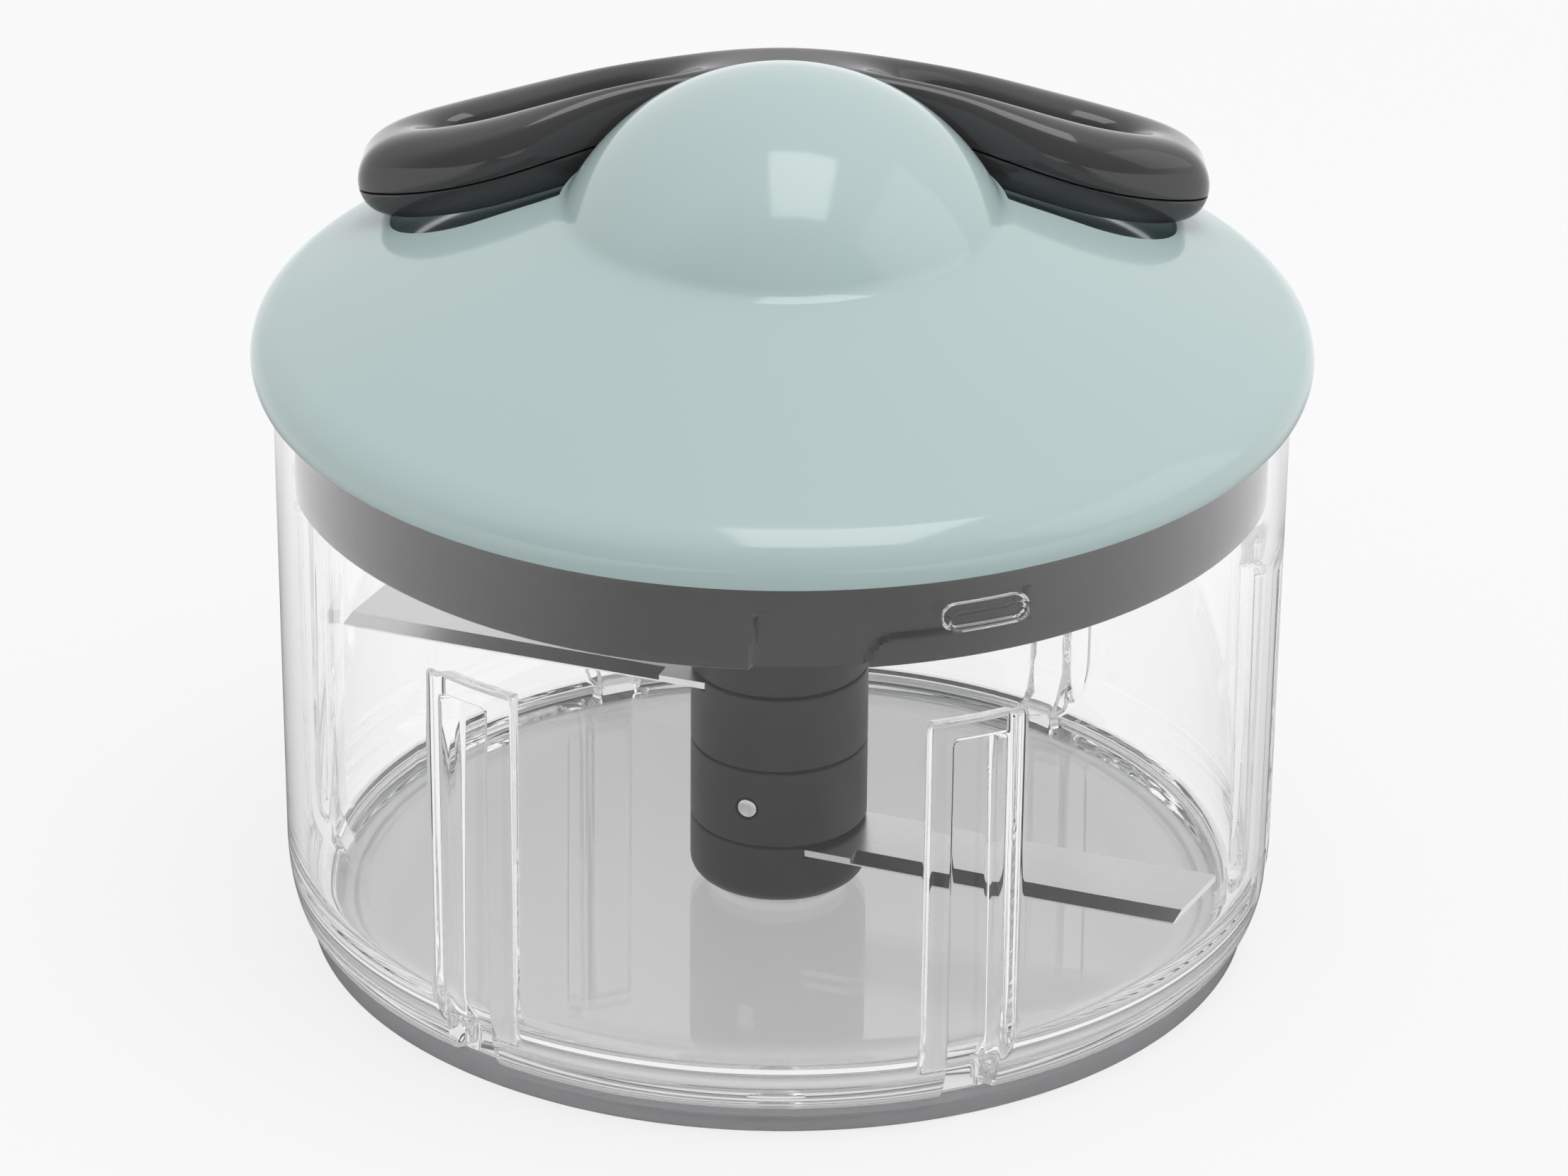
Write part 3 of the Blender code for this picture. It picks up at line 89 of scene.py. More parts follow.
def turnedPiece(name, profile, steps=180, segments=4):
    # profile of (radius, height) or (radius, height, rounding) in mm, drawn by extruding one point
    clearSelection()
    bpy.ops.mesh.primitive_plane_add(size=mm)
    piece = bpy.context.object
    piece.name = name
    bpy.ops.object.mode_set(mode="EDIT")
    bpy.ops.mesh.merge(type="CENTER")
    bpy.ops.transform.translate(value=(profile[0][0] * mm, 0, profile[0][1] * mm))
    for before, point in zip(profile, profile[1:]):
        step = ((point[0] - before[0]) * mm, 0, (point[1] - before[1]) * mm)
        bpy.ops.mesh.extrude_region_move(TRANSFORM_OT_translate={"value": step})
    for point in profile:
        if len(point) == 3:
            corner = Vector((point[0] * mm, 0, point[1] * mm))
            pick(piece, lambda co: (co - corner).length < 0.004 * mm)
            bpy.ops.mesh.bevel(offset=point[2] * mm, segments=segments, affect="VERTICES")
    bpy.ops.object.mode_set(mode="OBJECT")
    bpy.ops.object.modifier_add(type="SCREW")
    screw = piece.modifiers[-1]
    screw.axis = "Z"
    screw.steps = steps
    screw.render_steps = steps
    screw.use_merge_vertices = True
    screw.merge_threshold = 0.001 * mm
    applyLast(piece)
    closeUp(piece)
    return piece


def roundedBlock(name, low, high, edge=0.0, upright=False, segments=4):
    # box between two corners in mm, every edge or only the upright ones rounded
    clearSelection()
    centre = [(a + b) / 2 * mm for a, b in zip(low, high)]
    size = [(b - a) * mm for a, b in zip(low, high)]
    bpy.ops.mesh.primitive_cube_add(size=1, location=centre, scale=size)
    block = bpy.context.object
    block.name = name
    bpy.ops.object.transform_apply(location=True, rotation=True, scale=True)
    if edge:
        bpy.ops.object.mode_set(mode="EDIT")
        bpy.ops.mesh.select_mode(type="EDGE")
        form = bmesh.from_edit_mesh(block.data)
        for line in form.edges:
            standing = abs(line.verts[0].co.z - line.verts[1].co.z) > size[2] / 2
            line.select = standing or not upright
        form.select_flush_mode()
        bmesh.update_edit_mesh(block.data)
        bpy.ops.mesh.bevel(offset=edge * mm, segments=segments, affect="EDGES")
        bpy.ops.object.mode_set(mode="OBJECT")
    return block


def turnRoundZ(piece, degrees):
    makeActive(piece)
    piece.rotation_euler = (0, 0, math.radians(degrees))
    bpy.ops.object.transform_apply(location=False, rotation=True, scale=False)


def carve(piece, tool, operation="DIFFERENCE", keepTool=False):
    makeActive(piece)
    bpy.ops.object.modifier_add(type="BOOLEAN")
    step = piece.modifiers[-1]
    step.operation = operation
    step.solver = "EXACT"
    step.object = tool
    applyLast(piece)
    if not keepTool:
        bpy.data.objects.remove(tool)


def softenEdges(piece, width, angle=35, segments=2):
    makeActive(piece)
    bpy.ops.object.modifier_add(type="BEVEL")
    bevel = piece.modifiers[-1]
    bevel.width = width * mm
    bevel.segments = segments
    bevel.limit_method = "ANGLE"
    bevel.angle_limit = math.radians(angle)
    bevel.use_clamp_overlap = True
    applyLast(piece)


def settle(piece, material, body, nodes, angle=40):
    # shading, material and what the piece stands for
    makeActive(piece)
    bpy.ops.object.shade_smooth_by_angle(angle=math.radians(angle))
    piece.data.materials.clear()
    piece.data.materials.append(material)
    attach(piece, body)
    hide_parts(*nodes)
    return piece


def arcPoints(centre, radius, start, end, steps, height=None):
    tall = radius if height is None else height
    turns = [math.radians(start + (end - start) * i / steps) for i in range(steps + 1)]
    return [(centre[0] + radius * math.cos(t), centre[1] + tall * math.sin(t)) for t in turns]


def rowsBetween(high, low, gap):
    count = max(1, round(abs(high - low) / gap))
    return [high - (high - low) * i / count for i in range(count + 1)]


def easeStep(value):
    # 0 below 0, 1 above 1, smooth between
    value = min(1.0, max(0.0, value))
    return value * value * (3 - 2 * value)


def within(limit, value, edge):
    # 1 where the value is under the limit, 0 where it is over, smooth across the edge
    return easeStep((limit - value) / edge + 0.5)


def rowsAt(level, reach, gap):
    # from above a level to below it, or upwards when the reach is negative
    return rowsBetween(level + reach, level - reach, gap)


def fromNearest(angle, first, turn):
    # angle from the nearest of the places that repeat every turn, in degrees
    return (angle - first + turn / 2) % turn - turn / 2


def beside(place, offset):
    # profile point at an offset from a place, with the offset's rounding if it has one
    return (place[0] + offset[0], place[1] + offset[1], *offset[2:])


# finishes

def finish(name, colour, roughness, **sockets):
    material = bpy.data.materials.new(name)
    material.use_nodes = True
    shader = material.node_tree.nodes["Principled BSDF"]
    shader.inputs["Base Color"].default_value = (*colour, 1)
    shader.inputs["Roughness"].default_value = roughness
    for label, value in sockets.items():
        shader.inputs[label.replace("_", " ")].default_value = value
    return material


def addNode(material, kind, **settings):
    node = material.node_tree.nodes.new(kind)
    for key, value in settings.items():
        setattr(node, key, value)
    return node


def addBump(material, scale, strength, distance, detail=3.0):
    # fine moulded surface from noise on Object coordinates
    tree = material.node_tree
    place = addNode(material, "ShaderNodeTexCoord")
    noise = addNode(material, "ShaderNodeTexNoise")
    noise.inputs["Scale"].default_value = scale
    noise.inputs["Detail"].default_value = detail
    bump = addNode(material, "ShaderNodeBump")
    bump.inputs["Strength"].default_value = strength
    bump.inputs["Distance"].default_value = distance * mm
    tree.links.new(place.outputs["Object"], noise.inputs["Vector"])
    tree.links.new(noise.outputs["Fac"], bump.inputs["Height"])
    tree.links.new(bump.outputs["Normal"], tree.nodes["Principled BSDF"].inputs["Normal"])


def varyColour(material, scale, dark, light, stretch=(1, 1, 1), detail=4, between=(0.35, 0.65)):
    # slow change between two colours from noise on Object coordinates
    tree = material.node_tree
    place = addNode(material, "ShaderNodeTexCoord")
    mapping = addNode(material, "ShaderNodeMapping")
    mapping.inputs["Scale"].default_value = stretch
    noise = addNode(material, "ShaderNodeTexNoise")
    noise.inputs["Scale"].default_value = scale
    noise.inputs["Detail"].default_value = detail
    ramp = addNode(material, "ShaderNodeValToRGB")
    ramp.color_ramp.elements[0].position = between[0]
    ramp.color_ramp.elements[0].color = (*dark, 1)
    ramp.color_ramp.elements[1].position = between[1]
    ramp.color_ramp.elements[1].color = (*light, 1)
    tree.links.new(place.outputs["Object"], mapping.inputs["Vector"])
    tree.links.new(mapping.outputs["Vector"], noise.inputs["Vector"])
    tree.links.new(noise.outputs["Fac"], ramp.inputs["Fac"])
    tree.links.new(ramp.outputs["Color"], tree.nodes["Principled BSDF"].inputs["Base Color"])


def shadeByRadius(material, radii, inner, outer):
    # one colour inside the first radius, another outside the second, in mm round Z
    tree = material.node_tree
    place = addNode(material, "ShaderNodeTexCoord")
    flat = addNode(material, "ShaderNodeVectorMath", operation="MULTIPLY")
    flat.inputs[1].default_value = (1, 1, 0)
    radius = addNode(material, "ShaderNodeVectorMath", operation="LENGTH")
    share = addNode(material, "ShaderNodeMapRange")
    share.inputs["From Min"].default_value = radii[0] * mm
    share.inputs["From Max"].default_value = radii[1] * mm
    ramp = addNode(material, "ShaderNodeValToRGB")
    ramp.color_ramp.elements[0].color = (*inner, 1)
    ramp.color_ramp.elements[1].color = (*outer, 1)
    tree.links.new(place.outputs["Object"], flat.inputs[0])
    tree.links.new(flat.outputs["Vector"], radius.inputs[0])
    tree.links.new(radius.outputs["Value"], share.inputs["Value"])
    tree.links.new(share.outputs["Result"], ramp.inputs["Fac"])
    tree.links.new(ramp.outputs["Color"], tree.nodes["Principled BSDF"].inputs["Base Color"])


mintGloss = finish("mintGloss", (0.47, 0.595, 0.578), 0.10)
varyColour(mintGloss, 9, (0.466, 0.591, 0.574), (0.474, 0.599, 0.582))
addBump(mintGloss, 60, 0.04, 0.05)
darkGloss = finish("darkGloss", (0.062, 0.059, 0.060), 0.08)
varyColour(darkGloss, 20, (0.059, 0.056, 0.057), (0.065, 0.062, 0.063))
addBump(darkGloss, 90, 0.05, 0.04)
darkSatin = finish("darkSatin", (0.045, 0.043, 0.045), 0.14)
varyColour(darkSatin, 40, (0.042, 0.041, 0.043), (0.048, 0.046, 0.048))
addBump(darkSatin, 300, 0.012, 0.03)
darkTextured = finish("darkTextured", (0.029, 0.029, 0.029), 0.46)
varyColour(darkTextured, 160, (0.026, 0.026, 0.026), (0.032, 0.032, 0.032))
addBump(darkTextured, 2200, 0.16, 0.05)
clearPlastic = finish("clearPlastic", (1.0, 1.0, 1.0), 0.0, Transmission_Weight=1.0, IOR=1.49)
addBump(clearPlastic, 35, 0.05, 0.08, 1.0)
brushedSteel = finish("brushedSteel", (0.80, 0.80, 0.81), 0.24, Metallic=1.0)
varyColour(brushedSteel, 220, (0.76, 0.76, 0.77), (0.83, 0.83, 0.84), (1, 14, 1))
addBump(brushedSteel, 700, 0.06, 0.03)
bladeSteel = finish("bladeSteel", (0.88, 0.88, 0.89), 0.26, Metallic=1.0)
varyColour(bladeSteel, 220, (0.86, 0.86, 0.87), (0.90, 0.90, 0.91), (1, 14, 1))
addBump(bladeSteel, 700, 0.05, 0.03)
springSteel = finish("springSteel", (0.28, 0.29, 0.32), 0.32, Metallic=1.0)
varyColour(springSteel, 160, (0.24, 0.25, 0.28), (0.32, 0.33, 0.36))
smokyRubber = finish("smokyRubber", (0.95, 0.95, 0.96), 0.35, Transmission_Weight=0.88, IOR=1.45)
shadeByRadius(smokyRubber, (57.0, 59.6), (0.95, 0.95, 0.96), (0.58, 0.58, 0.59))
addBump(smokyRubber, 600, 0.15, 0.08)
naturalPlastic = finish("naturalPlastic", (0.70, 0.70, 0.68), 0.38)
varyColour(naturalPlastic, 30, (0.68, 0.68, 0.66), (0.73, 0.73, 0.71))
addBump(naturalPlastic, 800, 0.1, 0.05)
braidedCord = finish("braidedCord", (0.09, 0.09, 0.09), 0.8)
varyColour(braidedCord, 900, (0.05, 0.05, 0.05), (0.14, 0.14, 0.14))
print("finishes made")


# clear bowl

bowlForm = {
    "outside": 63.4, "draft": 0.8, "wall": 2.0, "top": 77.2,
    "mouth": 1.4, "mouthRound": 0.5, "mouthInRound": 0.3,
    "cornerTop": 13.1, "cornerIn": 2.6, "cornerEnd": -84, "overPad": 3.7,
    "foot": 59.1, "heelOut": 0.5, "heelDown": 0.1, "heelRound": 0.05,
    "bottom": 2.3, "bottomRound": 0.4, "bottomFlat": 57.5, "pinHole": 2.3, "pinHoleTop": 3.3,
    "inside": 4.5, "fillet": 9.5, "filletLead": 1, "filletBand": 0.5, "plainWithin": 30,
    "ribAngle": 22.6, "ribTurn": 60, "ribHalf": 5.8, "ribFace": 58.5, "ribTop": 56.0, "ribEdge": 1.3,
    "grooveHalf": 3.1, "grooveFloor": 60.7, "grooveTop": 54.0, "grooveEdge": 1.1,
    "notchFloor": 57.9, "notchTop": 5.7, "notchRise": 6,
    "lugAngle": 23.3, "lugTurn": 120, "lugLength": 11.0, "lugHeight": 3.2, "lugZ": 70.7, "lugDepth": 1.3,
    "lugEdge": 0.28, "sinkDepth": 0.45, "sinkIn": 0.35,
    "columnShares": (0, 30, 51, 59, 80, 110), "columnAngles": (-30, -6.4, -2.2, 2.2, 6.4, 30),
    "steps": 660,
    # rows of vertices as single heights, or as reach and gap round an edge
    "outerHigh": 76.0, "sinkRows": (1.8, 0.2), "outerMiddle": 66.0, "grooveRows": (1.2, 0.3),
    "outerLow": (45, 30, 16, 14),
    "innerLow": (15.5, 30, 45), "ribRows": (-1.4, 0.3), "innerMiddle": (60, 66), "lugRows": (-2.1, 0.2),
    "innerHigh": 75.5,
}


def spreadColumns(angle, form):
    # crowds the upright columns together at the ribs' flanks
    turn = form["ribTurn"]
    local = fromNearest(angle, form["ribAngle"], turn)
    share = (local + turn / 2) / turn * form["columnShares"][-1]
    for i in range(1, len(form["columnShares"])):
        low, high = form["columnShares"][i - 1:i + 1]
        if share <= high:
            start, end = form["columnAngles"][i - 1:i + 1]
            return angle - local + start + (end - start) * (share - low) / (high - low)
    return angle


def shapeBowlWall(x, y, z, outer, form):
    # moves a vertex of the plain wall into the ribs, grooves, notches, lugs and the lugs' recesses
    radius = math.hypot(x, y)
    if radius < form["plainWithin"]:
        return x, y, z
    angle = spreadColumns(math.degrees(math.atan2(x, -y)), form)
    across = math.radians(fromNearest(angle, form["ribAngle"], form["ribTurn"])) * radius
    along = math.radians(fromNearest(angle, form["lugAngle"], form["lugTurn"])) * radius
    half = form["lugHeight"] / 2
    beyond = max(0.0, abs(along) - form["lugLength"] / 2 + half)
    insideLug = half - math.hypot(beyond, z - form["lugZ"])
    if outer:
        floor = form["notchFloor"]
        if z > form["notchTop"]:
            share = min(1.0, (z - form["notchTop"]) / form["notchRise"])
            floor += (form["grooveFloor"] - form["notchFloor"]) * easeStep(share)
        inGroove = within(form["grooveHalf"], abs(across), form["grooveEdge"])
        inGroove *= within(form["grooveTop"], z, form["grooveEdge"])
        radius -= inGroove * max(0.0, radius - floor)
        radius -= form["sinkDepth"] * within(insideLug, form["sinkIn"], form["lugEdge"])
    else:
        inRib = within(form["ribHalf"], abs(across), form["ribEdge"])
        inRib *= within(form["ribTop"], z, form["ribEdge"])
        radius -= inRib * max(0.0, radius - form["ribFace"])
        radius -= form["lugDepth"] * within(insideLug, 0, form["lugEdge"])
    turn = math.radians(angle)
    return radius * math.sin(turn), -radius * math.cos(turn), z


def makeBowl(form):
    top, wall, fillet = form["top"], form["wall"], form["fillet"]
    overPad, bottom, inside = form["overPad"], form["bottom"], form["inside"]

    def wallRadius(z):
        return form["outside"] + form["draft"] * (z - form["cornerTop"]) / (top - form["cornerTop"])

    outer = [(wallRadius(top) - form["mouth"], top), (wallRadius(top), top, form["mouthRound"])]
    heights = [form["outerHigh"], *rowsAt(form["lugZ"], *form["sinkRows"]), form["outerMiddle"],
               *rowsAt(form["grooveTop"], *form["grooveRows"]), *form["outerLow"]]
    outer += [(wallRadius(z), z) for z in heights]
    outer += arcPoints((form["outside"] - form["cornerIn"], form["cornerTop"]), form["cornerIn"],
                       0, form["cornerEnd"], steps=16, height=form["cornerTop"] - overPad)
    outer += [(form["foot"] + form["heelOut"], overPad),
              (form["foot"], overPad - form["heelDown"], form["heelRound"]),
              (form["foot"], bottom, form["bottomRound"]), (form["bottomFlat"], bottom), (0, bottom)]
    face = form["outside"] - wall
    inner = [(0, form["pinHoleTop"]), (form["pinHole"], form["pinHoleTop"]), (form["pinHole"], inside),
             (form["plainWithin"], inside), (face - fillet - form["filletLead"], inside)]
    inner += arcPoints((face - fillet, inside + fillet), fillet, -90, 0, steps=20)
    heights = [*form["innerLow"], *rowsAt(form["ribTop"], *form["ribRows"]), *form["innerMiddle"],
               *rowsAt(form["lugZ"], *form["lugRows"]), form["innerHigh"]]
    inner += [(wallRadius(z) - wall, z) for z in heights]
    inner += [(wallRadius(top) - wall, top, form["mouthInRound"]), outer[0]]
    bowl = turnedPiece("clearBowl", outer + inner, form["steps"])
    for vertex in bowl.data.vertices:
        x, y, z = (value / mm for value in vertex.co)
        limit = wallRadius(z) - wall / 2
        if z < form["cornerTop"]:
            run = math.sqrt(max(0.0, fillet ** 2 - (inside + fillet - z) ** 2))
            limit = face - fillet + run + form["filletBand"]
        isOuter = z < inside or math.hypot(x, y) > limit
        vertex.co = [value * mm for value in shapeBowlWall(x, y, z, isOuter, form)]
    settle(bowl, clearPlastic, "bowl", ["bowl"], angle=60)


makeBowl(bowlForm)
print("bowl made")


# base pad

padForm = {
    "radius": 60.4, "thickness": 2.0, "lipTop": 3.4, "lipWidth": 1.0, "round": 0.2, "topRound": 0.35,
    "footRound": 0.5, "footIn": 3, "hollowIn": 4, "hollowTop": 0.3,
}


def makePad(form):
    inner = form["radius"] - form["lipWidth"]
    pad = turnedPiece("softPad", [
        (0, form["thickness"]), (inner, form["thickness"], form["round"]),
        (inner, form["lipTop"], form["round"]), (form["radius"], form["lipTop"], form["topRound"]),
        (form["radius"], 0, form["footRound"]),
        (inner - form["footIn"], 0, form["round"]),
        (inner - form["hollowIn"], form["hollowTop"], form["round"]), (0, form["hollowTop"])], steps=240)
    settle(pad, smokyRubber, "base", ["base_pad"])


makePad(padForm)
print("base pad made")


# blade unit

columnForm = {
    "radius": 11.4, "bore": 5.3, "top": 64.6, "seams": (35.5, 24.9, 14.1), "bottom": 5.8, "gap": 0.3,
    "edge": 0.35, "footRound": 2.2, "pinZ": 19.5, "pinAngle": -21.0, "pinRadius": 1.3, "pinStart": 3.2,
    "pinEdge": 0.25, "pinGap": 0.3, "pinBoreStart": 3, "pinBorePast": 3,
    "pocket": 1.5, "hub": 9.5, "upperAngle": 160.0, "lowerAngle": -21.0, "lead": 4.1, "trail": 8.8,
    "bladeGap": 0.3, "cutPast": 2,
}


def pinRod(name, form, radius, start, end):
    clearSelection()
    turn = math.radians(form["pinAngle"])
    way = Vector((math.sin(turn), -math.cos(turn), 0))
    middle = way * (start + end) / 2 + Vector((0, 0, form["pinZ"]))
    bpy.ops.mesh.primitive_cylinder_add(
        vertices=48, radius=radius * mm, depth=(end - start) * mm, location=middle * mm,
        rotation=way.to_track_quat("Z", "Y").to_euler())
    rod = bpy.context.object
    rod.name = name
    bpy.ops.object.transform_apply(location=True, rotation=True, scale=True)
    return rod


def cutBladeRoom(ring, form, high, angle, back, front):
    # round well for the blade's hub and a slit through the ring's side for its arm
    floor, over = high - form["pocket"], high + form["cutPast"]
    well = turnedPiece("well", [(0, over), (form["hub"], over), (form["hub"], floor), (0, floor)], steps=64)
    carve(ring, well)
    slit = roundedBlock("slit", (0, back - form["bladeGap"], floor),
                        (form["radius"] + form["cutPast"], front + form["bladeGap"], over))
    turnRoundZ(slit, angle)
    carve(ring, slit)


def makeColumn(form):
    half = form["gap"] / 2
    levels = [form["top"] + half, *form["seams"], form["bottom"] - half]
    names = ("blade_collar", "blade_sleeve_upper", "blade_sleeve_lower", "blade_foot")
    for name, high, low in zip(names, levels, levels[1:]):
        high, low = high - half, low + half
        lowEdge = form["footRound"] if name == "blade_foot" else form["edge"]
        ring = turnedPiece(name + "Ring", [
            (form["bore"], high), (form["radius"], high, form["edge"]), (form["radius"], low, lowEdge),
            (form["bore"], low), (form["bore"], high)], steps=96, segments=6)
        if name == "blade_sleeve_upper":
            cutBladeRoom(ring, form, high, form["upperAngle"], -form["lead"], form["trail"])
        if name == "blade_sleeve_lower":
            carve(ring, pinRod("pinBore", form, form["pinRadius"] + form["pinGap"], form["pinBoreStart"],
                               form["radius"] + form["pinBorePast"]))
        if name == "blade_foot":
            cutBladeRoom(ring, form, high, form["lowerAngle"], -form["trail"], form["lead"])
        settle(ring, darkTextured, "blades", [name], angle=32)
    pin = pinRod("steelPin", form, form["pinRadius"], form["pinStart"], form["radius"])
    softenEdges(pin, form["pinEdge"], angle=50, segments=3)
    settle(pin, brushedSteel, "blades", ["blade_pin"])


makeColumn(columnForm)

washerForm = {"inner": 2.3, "outer": 9.0, "bottom": 4.8, "top": 5.5, "round": 0.2}


def makeWasher(form):
    washer = turnedPiece("footWasher", [
        (form["inner"], form["bottom"]), (form["inner"], form["top"]),
        (form["outer"], form["top"], form["round"]), (form["outer"], form["bottom"], form["round"]),
        (form["inner"], form["bottom"])], steps=96)
    settle(washer, brushedSteel, "bowl", ["foot_washer"])


makeWasher(washerForm)
print("blade unit made")


# lid

lidForm = {
    "dome": 30.7, "domeZ": 85.0, "domeFoot": 27.9,
    "coneTop": (30.0, 97.4), "shoulder": (65.0, 83.4), "crown": 0.5,
    "rim": 67.0, "rimZ": 79.7, "lip": 77.5, "wall": 2.2,
    # degrees that the dome's arc stops before its foot, outside and inside
    "domeStop": 2, "domeStopIn": 1,
    # profile points beside the named places: outwards, upwards and rounding
    "domeMeets": (0.45, 0.65, 0.5), "coneStart": (1, -0.35), "shoulderTurn": (-0.3, 0.2, 1.6),
    "rimTop": (-0.35, 1.6, 1.0), "rimSide": (0, -0.4, 0.8), "rimFoot": (-0.5, 0, 0.5),
    "coneIn": (0, -0.2), "shoulderIn": (-1.6, 0), "rimIn": (-0.6, 0), "lipIn": (-1, -1),
    "scoopDepth": 3.2, "scoopHalf": 50.0, "scoopFront": 4.0, "scoopBack": 40.0, "scoopCorner": 12.0,
    "scoopIn": 0.5, "scoopTop": 124, "planBottom": 60, "planTop": 130,
    "eyeletZ": 102.1, "eyelet": 2.7, "eyeletLength": 9, "eyeletIn": 2,
    "nestWall": 15.4, "nestHalf": 27.0, "nestEdge": 1.2, "nestLiner": 0.2, "handleGap": 1.2,
}
handleForm = {
    "half": 53.4, "y": 22.0, "z": 104.3, "barWidth": 5.4, "barHeight": 6.5, "span": 60.0, "droop": 12.0,
    "lean": 0.20, "leanRun": 26.0, "nestBow": 4.6, "parting": 1.2, "partingGap": 0.3, "partingEdge": 0.08,
    "roomBottom": -19, "roomPast": 8, "merge": 0.05, "levels": 4,
    "pocket": 2.5, "pocketScale": (1.2, 1, 0.95), "bore": 1.3, "boreLength": 10, "boreFront": 5,
    # along the half, rows from front to back in bar half widths, height in bar half heights
    "stations": (
        (0.00, (-0.96, -0.40, 0.40, 1.02), 0.90),
        (0.30, (-1.12, -0.40, 0.50, 1.45), 0.92),
        (0.46, (-1.70, -0.45, 0.85, 2.25), 0.98),
        (0.62, (-2.35, -0.32, 0.62, 2.60), 1.00),
        (0.80, (-2.50, -0.30, 0.66, 2.65), 1.00),
        (1.025, (-1.10, -0.18, 0.60, 1.42), 0.84),
    ),
}


def handleLevel(x, y, form):
    # height of the handle's middle: it droops to both ends and each loop leans back
    lean = form["lean"] * easeStep(abs(x) / form["leanRun"])
    return form["z"] - form["droop"] * easeStep(abs(x) / form["span"]) - lean * (y - form["y"])


def bentBlock(name, front, back, bottom, top, half, columns, edge=0.0, bow=0.0, rows=4):
    # block that follows the handle's droop and lean, its front and back measured from the bar's middle
    block = roundedBlock(name, (-half, front, bottom), (half, back, top))
    bpy.ops.object.mode_set(mode="EDIT")
    if edge:
        pick(block, lambda co: co.y < front * mm + hair and co.z < bottom * mm + hair)
        bpy.ops.mesh.bevel(offset=edge * mm, segments=5, affect="EDGES")
    for i in range(1, rows):
        bpy.ops.mesh.select_all(action="SELECT")
        y = (front + (back - front) * i / rows) * mm
        bpy.ops.mesh.bisect(plane_co=(0, y, 0), plane_no=(0, 1, 0))
    for i in range(1, columns):
        bpy.ops.mesh.select_all(action="SELECT")
        x = (-half + 2 * half * i / columns) * mm
        bpy.ops.mesh.bisect(plane_co=(x, 0, 0), plane_no=(1, 0, 0))
    bpy.ops.mesh.select_all(action="SELECT")
    bpy.ops.mesh.quads_convert_to_tris()
    bpy.ops.object.mode_set(mode="OBJECT")
    form = handleForm
    for vertex in block.data.vertices:
        x, y, z = (value / mm for value in vertex.co)
        y += form["y"] - bow * (x / lidForm["nestHalf"]) ** 2
        vertex.co = (x * mm, y * mm, (handleLevel(x, y, form) + z) * mm)
    return block


def coneLevel(radius, form):
    slope = (form["coneTop"][1] - form["shoulder"][1]) / (form["shoulder"][0] - form["coneTop"][0])
    return form["coneTop"][1] - (radius - form["coneTop"][0]) * slope


def scoopTool(name, form, depth, grow):
    inner = form["domeFoot"] + form["scoopIn"] - grow
    outer = form["shoulder"][0]
    space = turnedPiece(name, [
        (inner, form["scoopTop"]), (outer, form["scoopTop"]), (outer, coneLevel(outer, form) - depth),
        (inner, coneLevel(inner, form) - depth), (inner, form["scoopTop"])], steps=180)
    half, front, back = form["scoopHalf"], form["scoopFront"], form["scoopBack"]
    plan = roundedBlock(name + "Plan", (-half - grow, front - grow, form["planBottom"]),
                        (half + grow, back + grow, form["planTop"]), form["scoopCorner"] + grow,
                        upright=True, segments=16)
    carve(space, plan, "INTERSECT")
    return space


def nestTool(name, form, grow):
    bar = handleForm
    gap = form["handleGap"]
    return bentBlock(name, front=-bar["barWidth"] - gap - grow, back=form["rim"] - bar["y"],
                     bottom=-bar["barHeight"] - gap - grow, top=form["dome"], half=form["nestHalf"] + grow,
                     columns=24, edge=form["nestEdge"] + grow, bow=bar["nestBow"])


def coverOutside(form, footTurn, coneSteps=12):
    top, shoulder, rim = form["coneTop"], form["shoulder"], form["rim"]
    middle = (top[0] + shoulder[0]) / 2
    outside = arcPoints((0, form["domeZ"]), form["dome"], 90, footTurn + form["domeStop"], steps=36)
    outside += [beside((form["domeFoot"], top[1]), form["domeMeets"]), beside(top, form["coneStart"])]
    for i in range(1, coneSteps):
        radius = top[0] + (shoulder[0] - top[0]) * i / coneSteps
        swell = 1 - ((radius - middle) / (middle - top[0])) ** 2
        outside.append((radius, coneLevel(radius, form) + form["crown"] * swell))
    return outside + [
        beside(shoulder, form["shoulderTurn"]), beside((rim, form["rimZ"]), form["rimTop"]),
        beside((rim, form["rimZ"]), form["rimSide"]), beside((rim, form["lip"]), form["rimFoot"]),
        (0, form["lip"])]


def coverInside(form, footTurn):
    top, shoulder, wall = form["coneTop"], form["shoulder"], form["wall"]
    lipIn = beside((form["rim"] - wall, form["lip"]), form["lipIn"])
    inside = arcPoints((0, form["domeZ"]), form["dome"] - wall, 90, footTurn + form["domeStopIn"], steps=16)
    return inside + [
        beside((top[0], top[1] - wall), form["coneIn"]),
        beside((shoulder[0], shoulder[1] - wall), form["shoulderIn"]),
        beside((form["rim"] - wall, form["rimZ"]), form["rimIn"]), lipIn, (0, lipIn[1])]


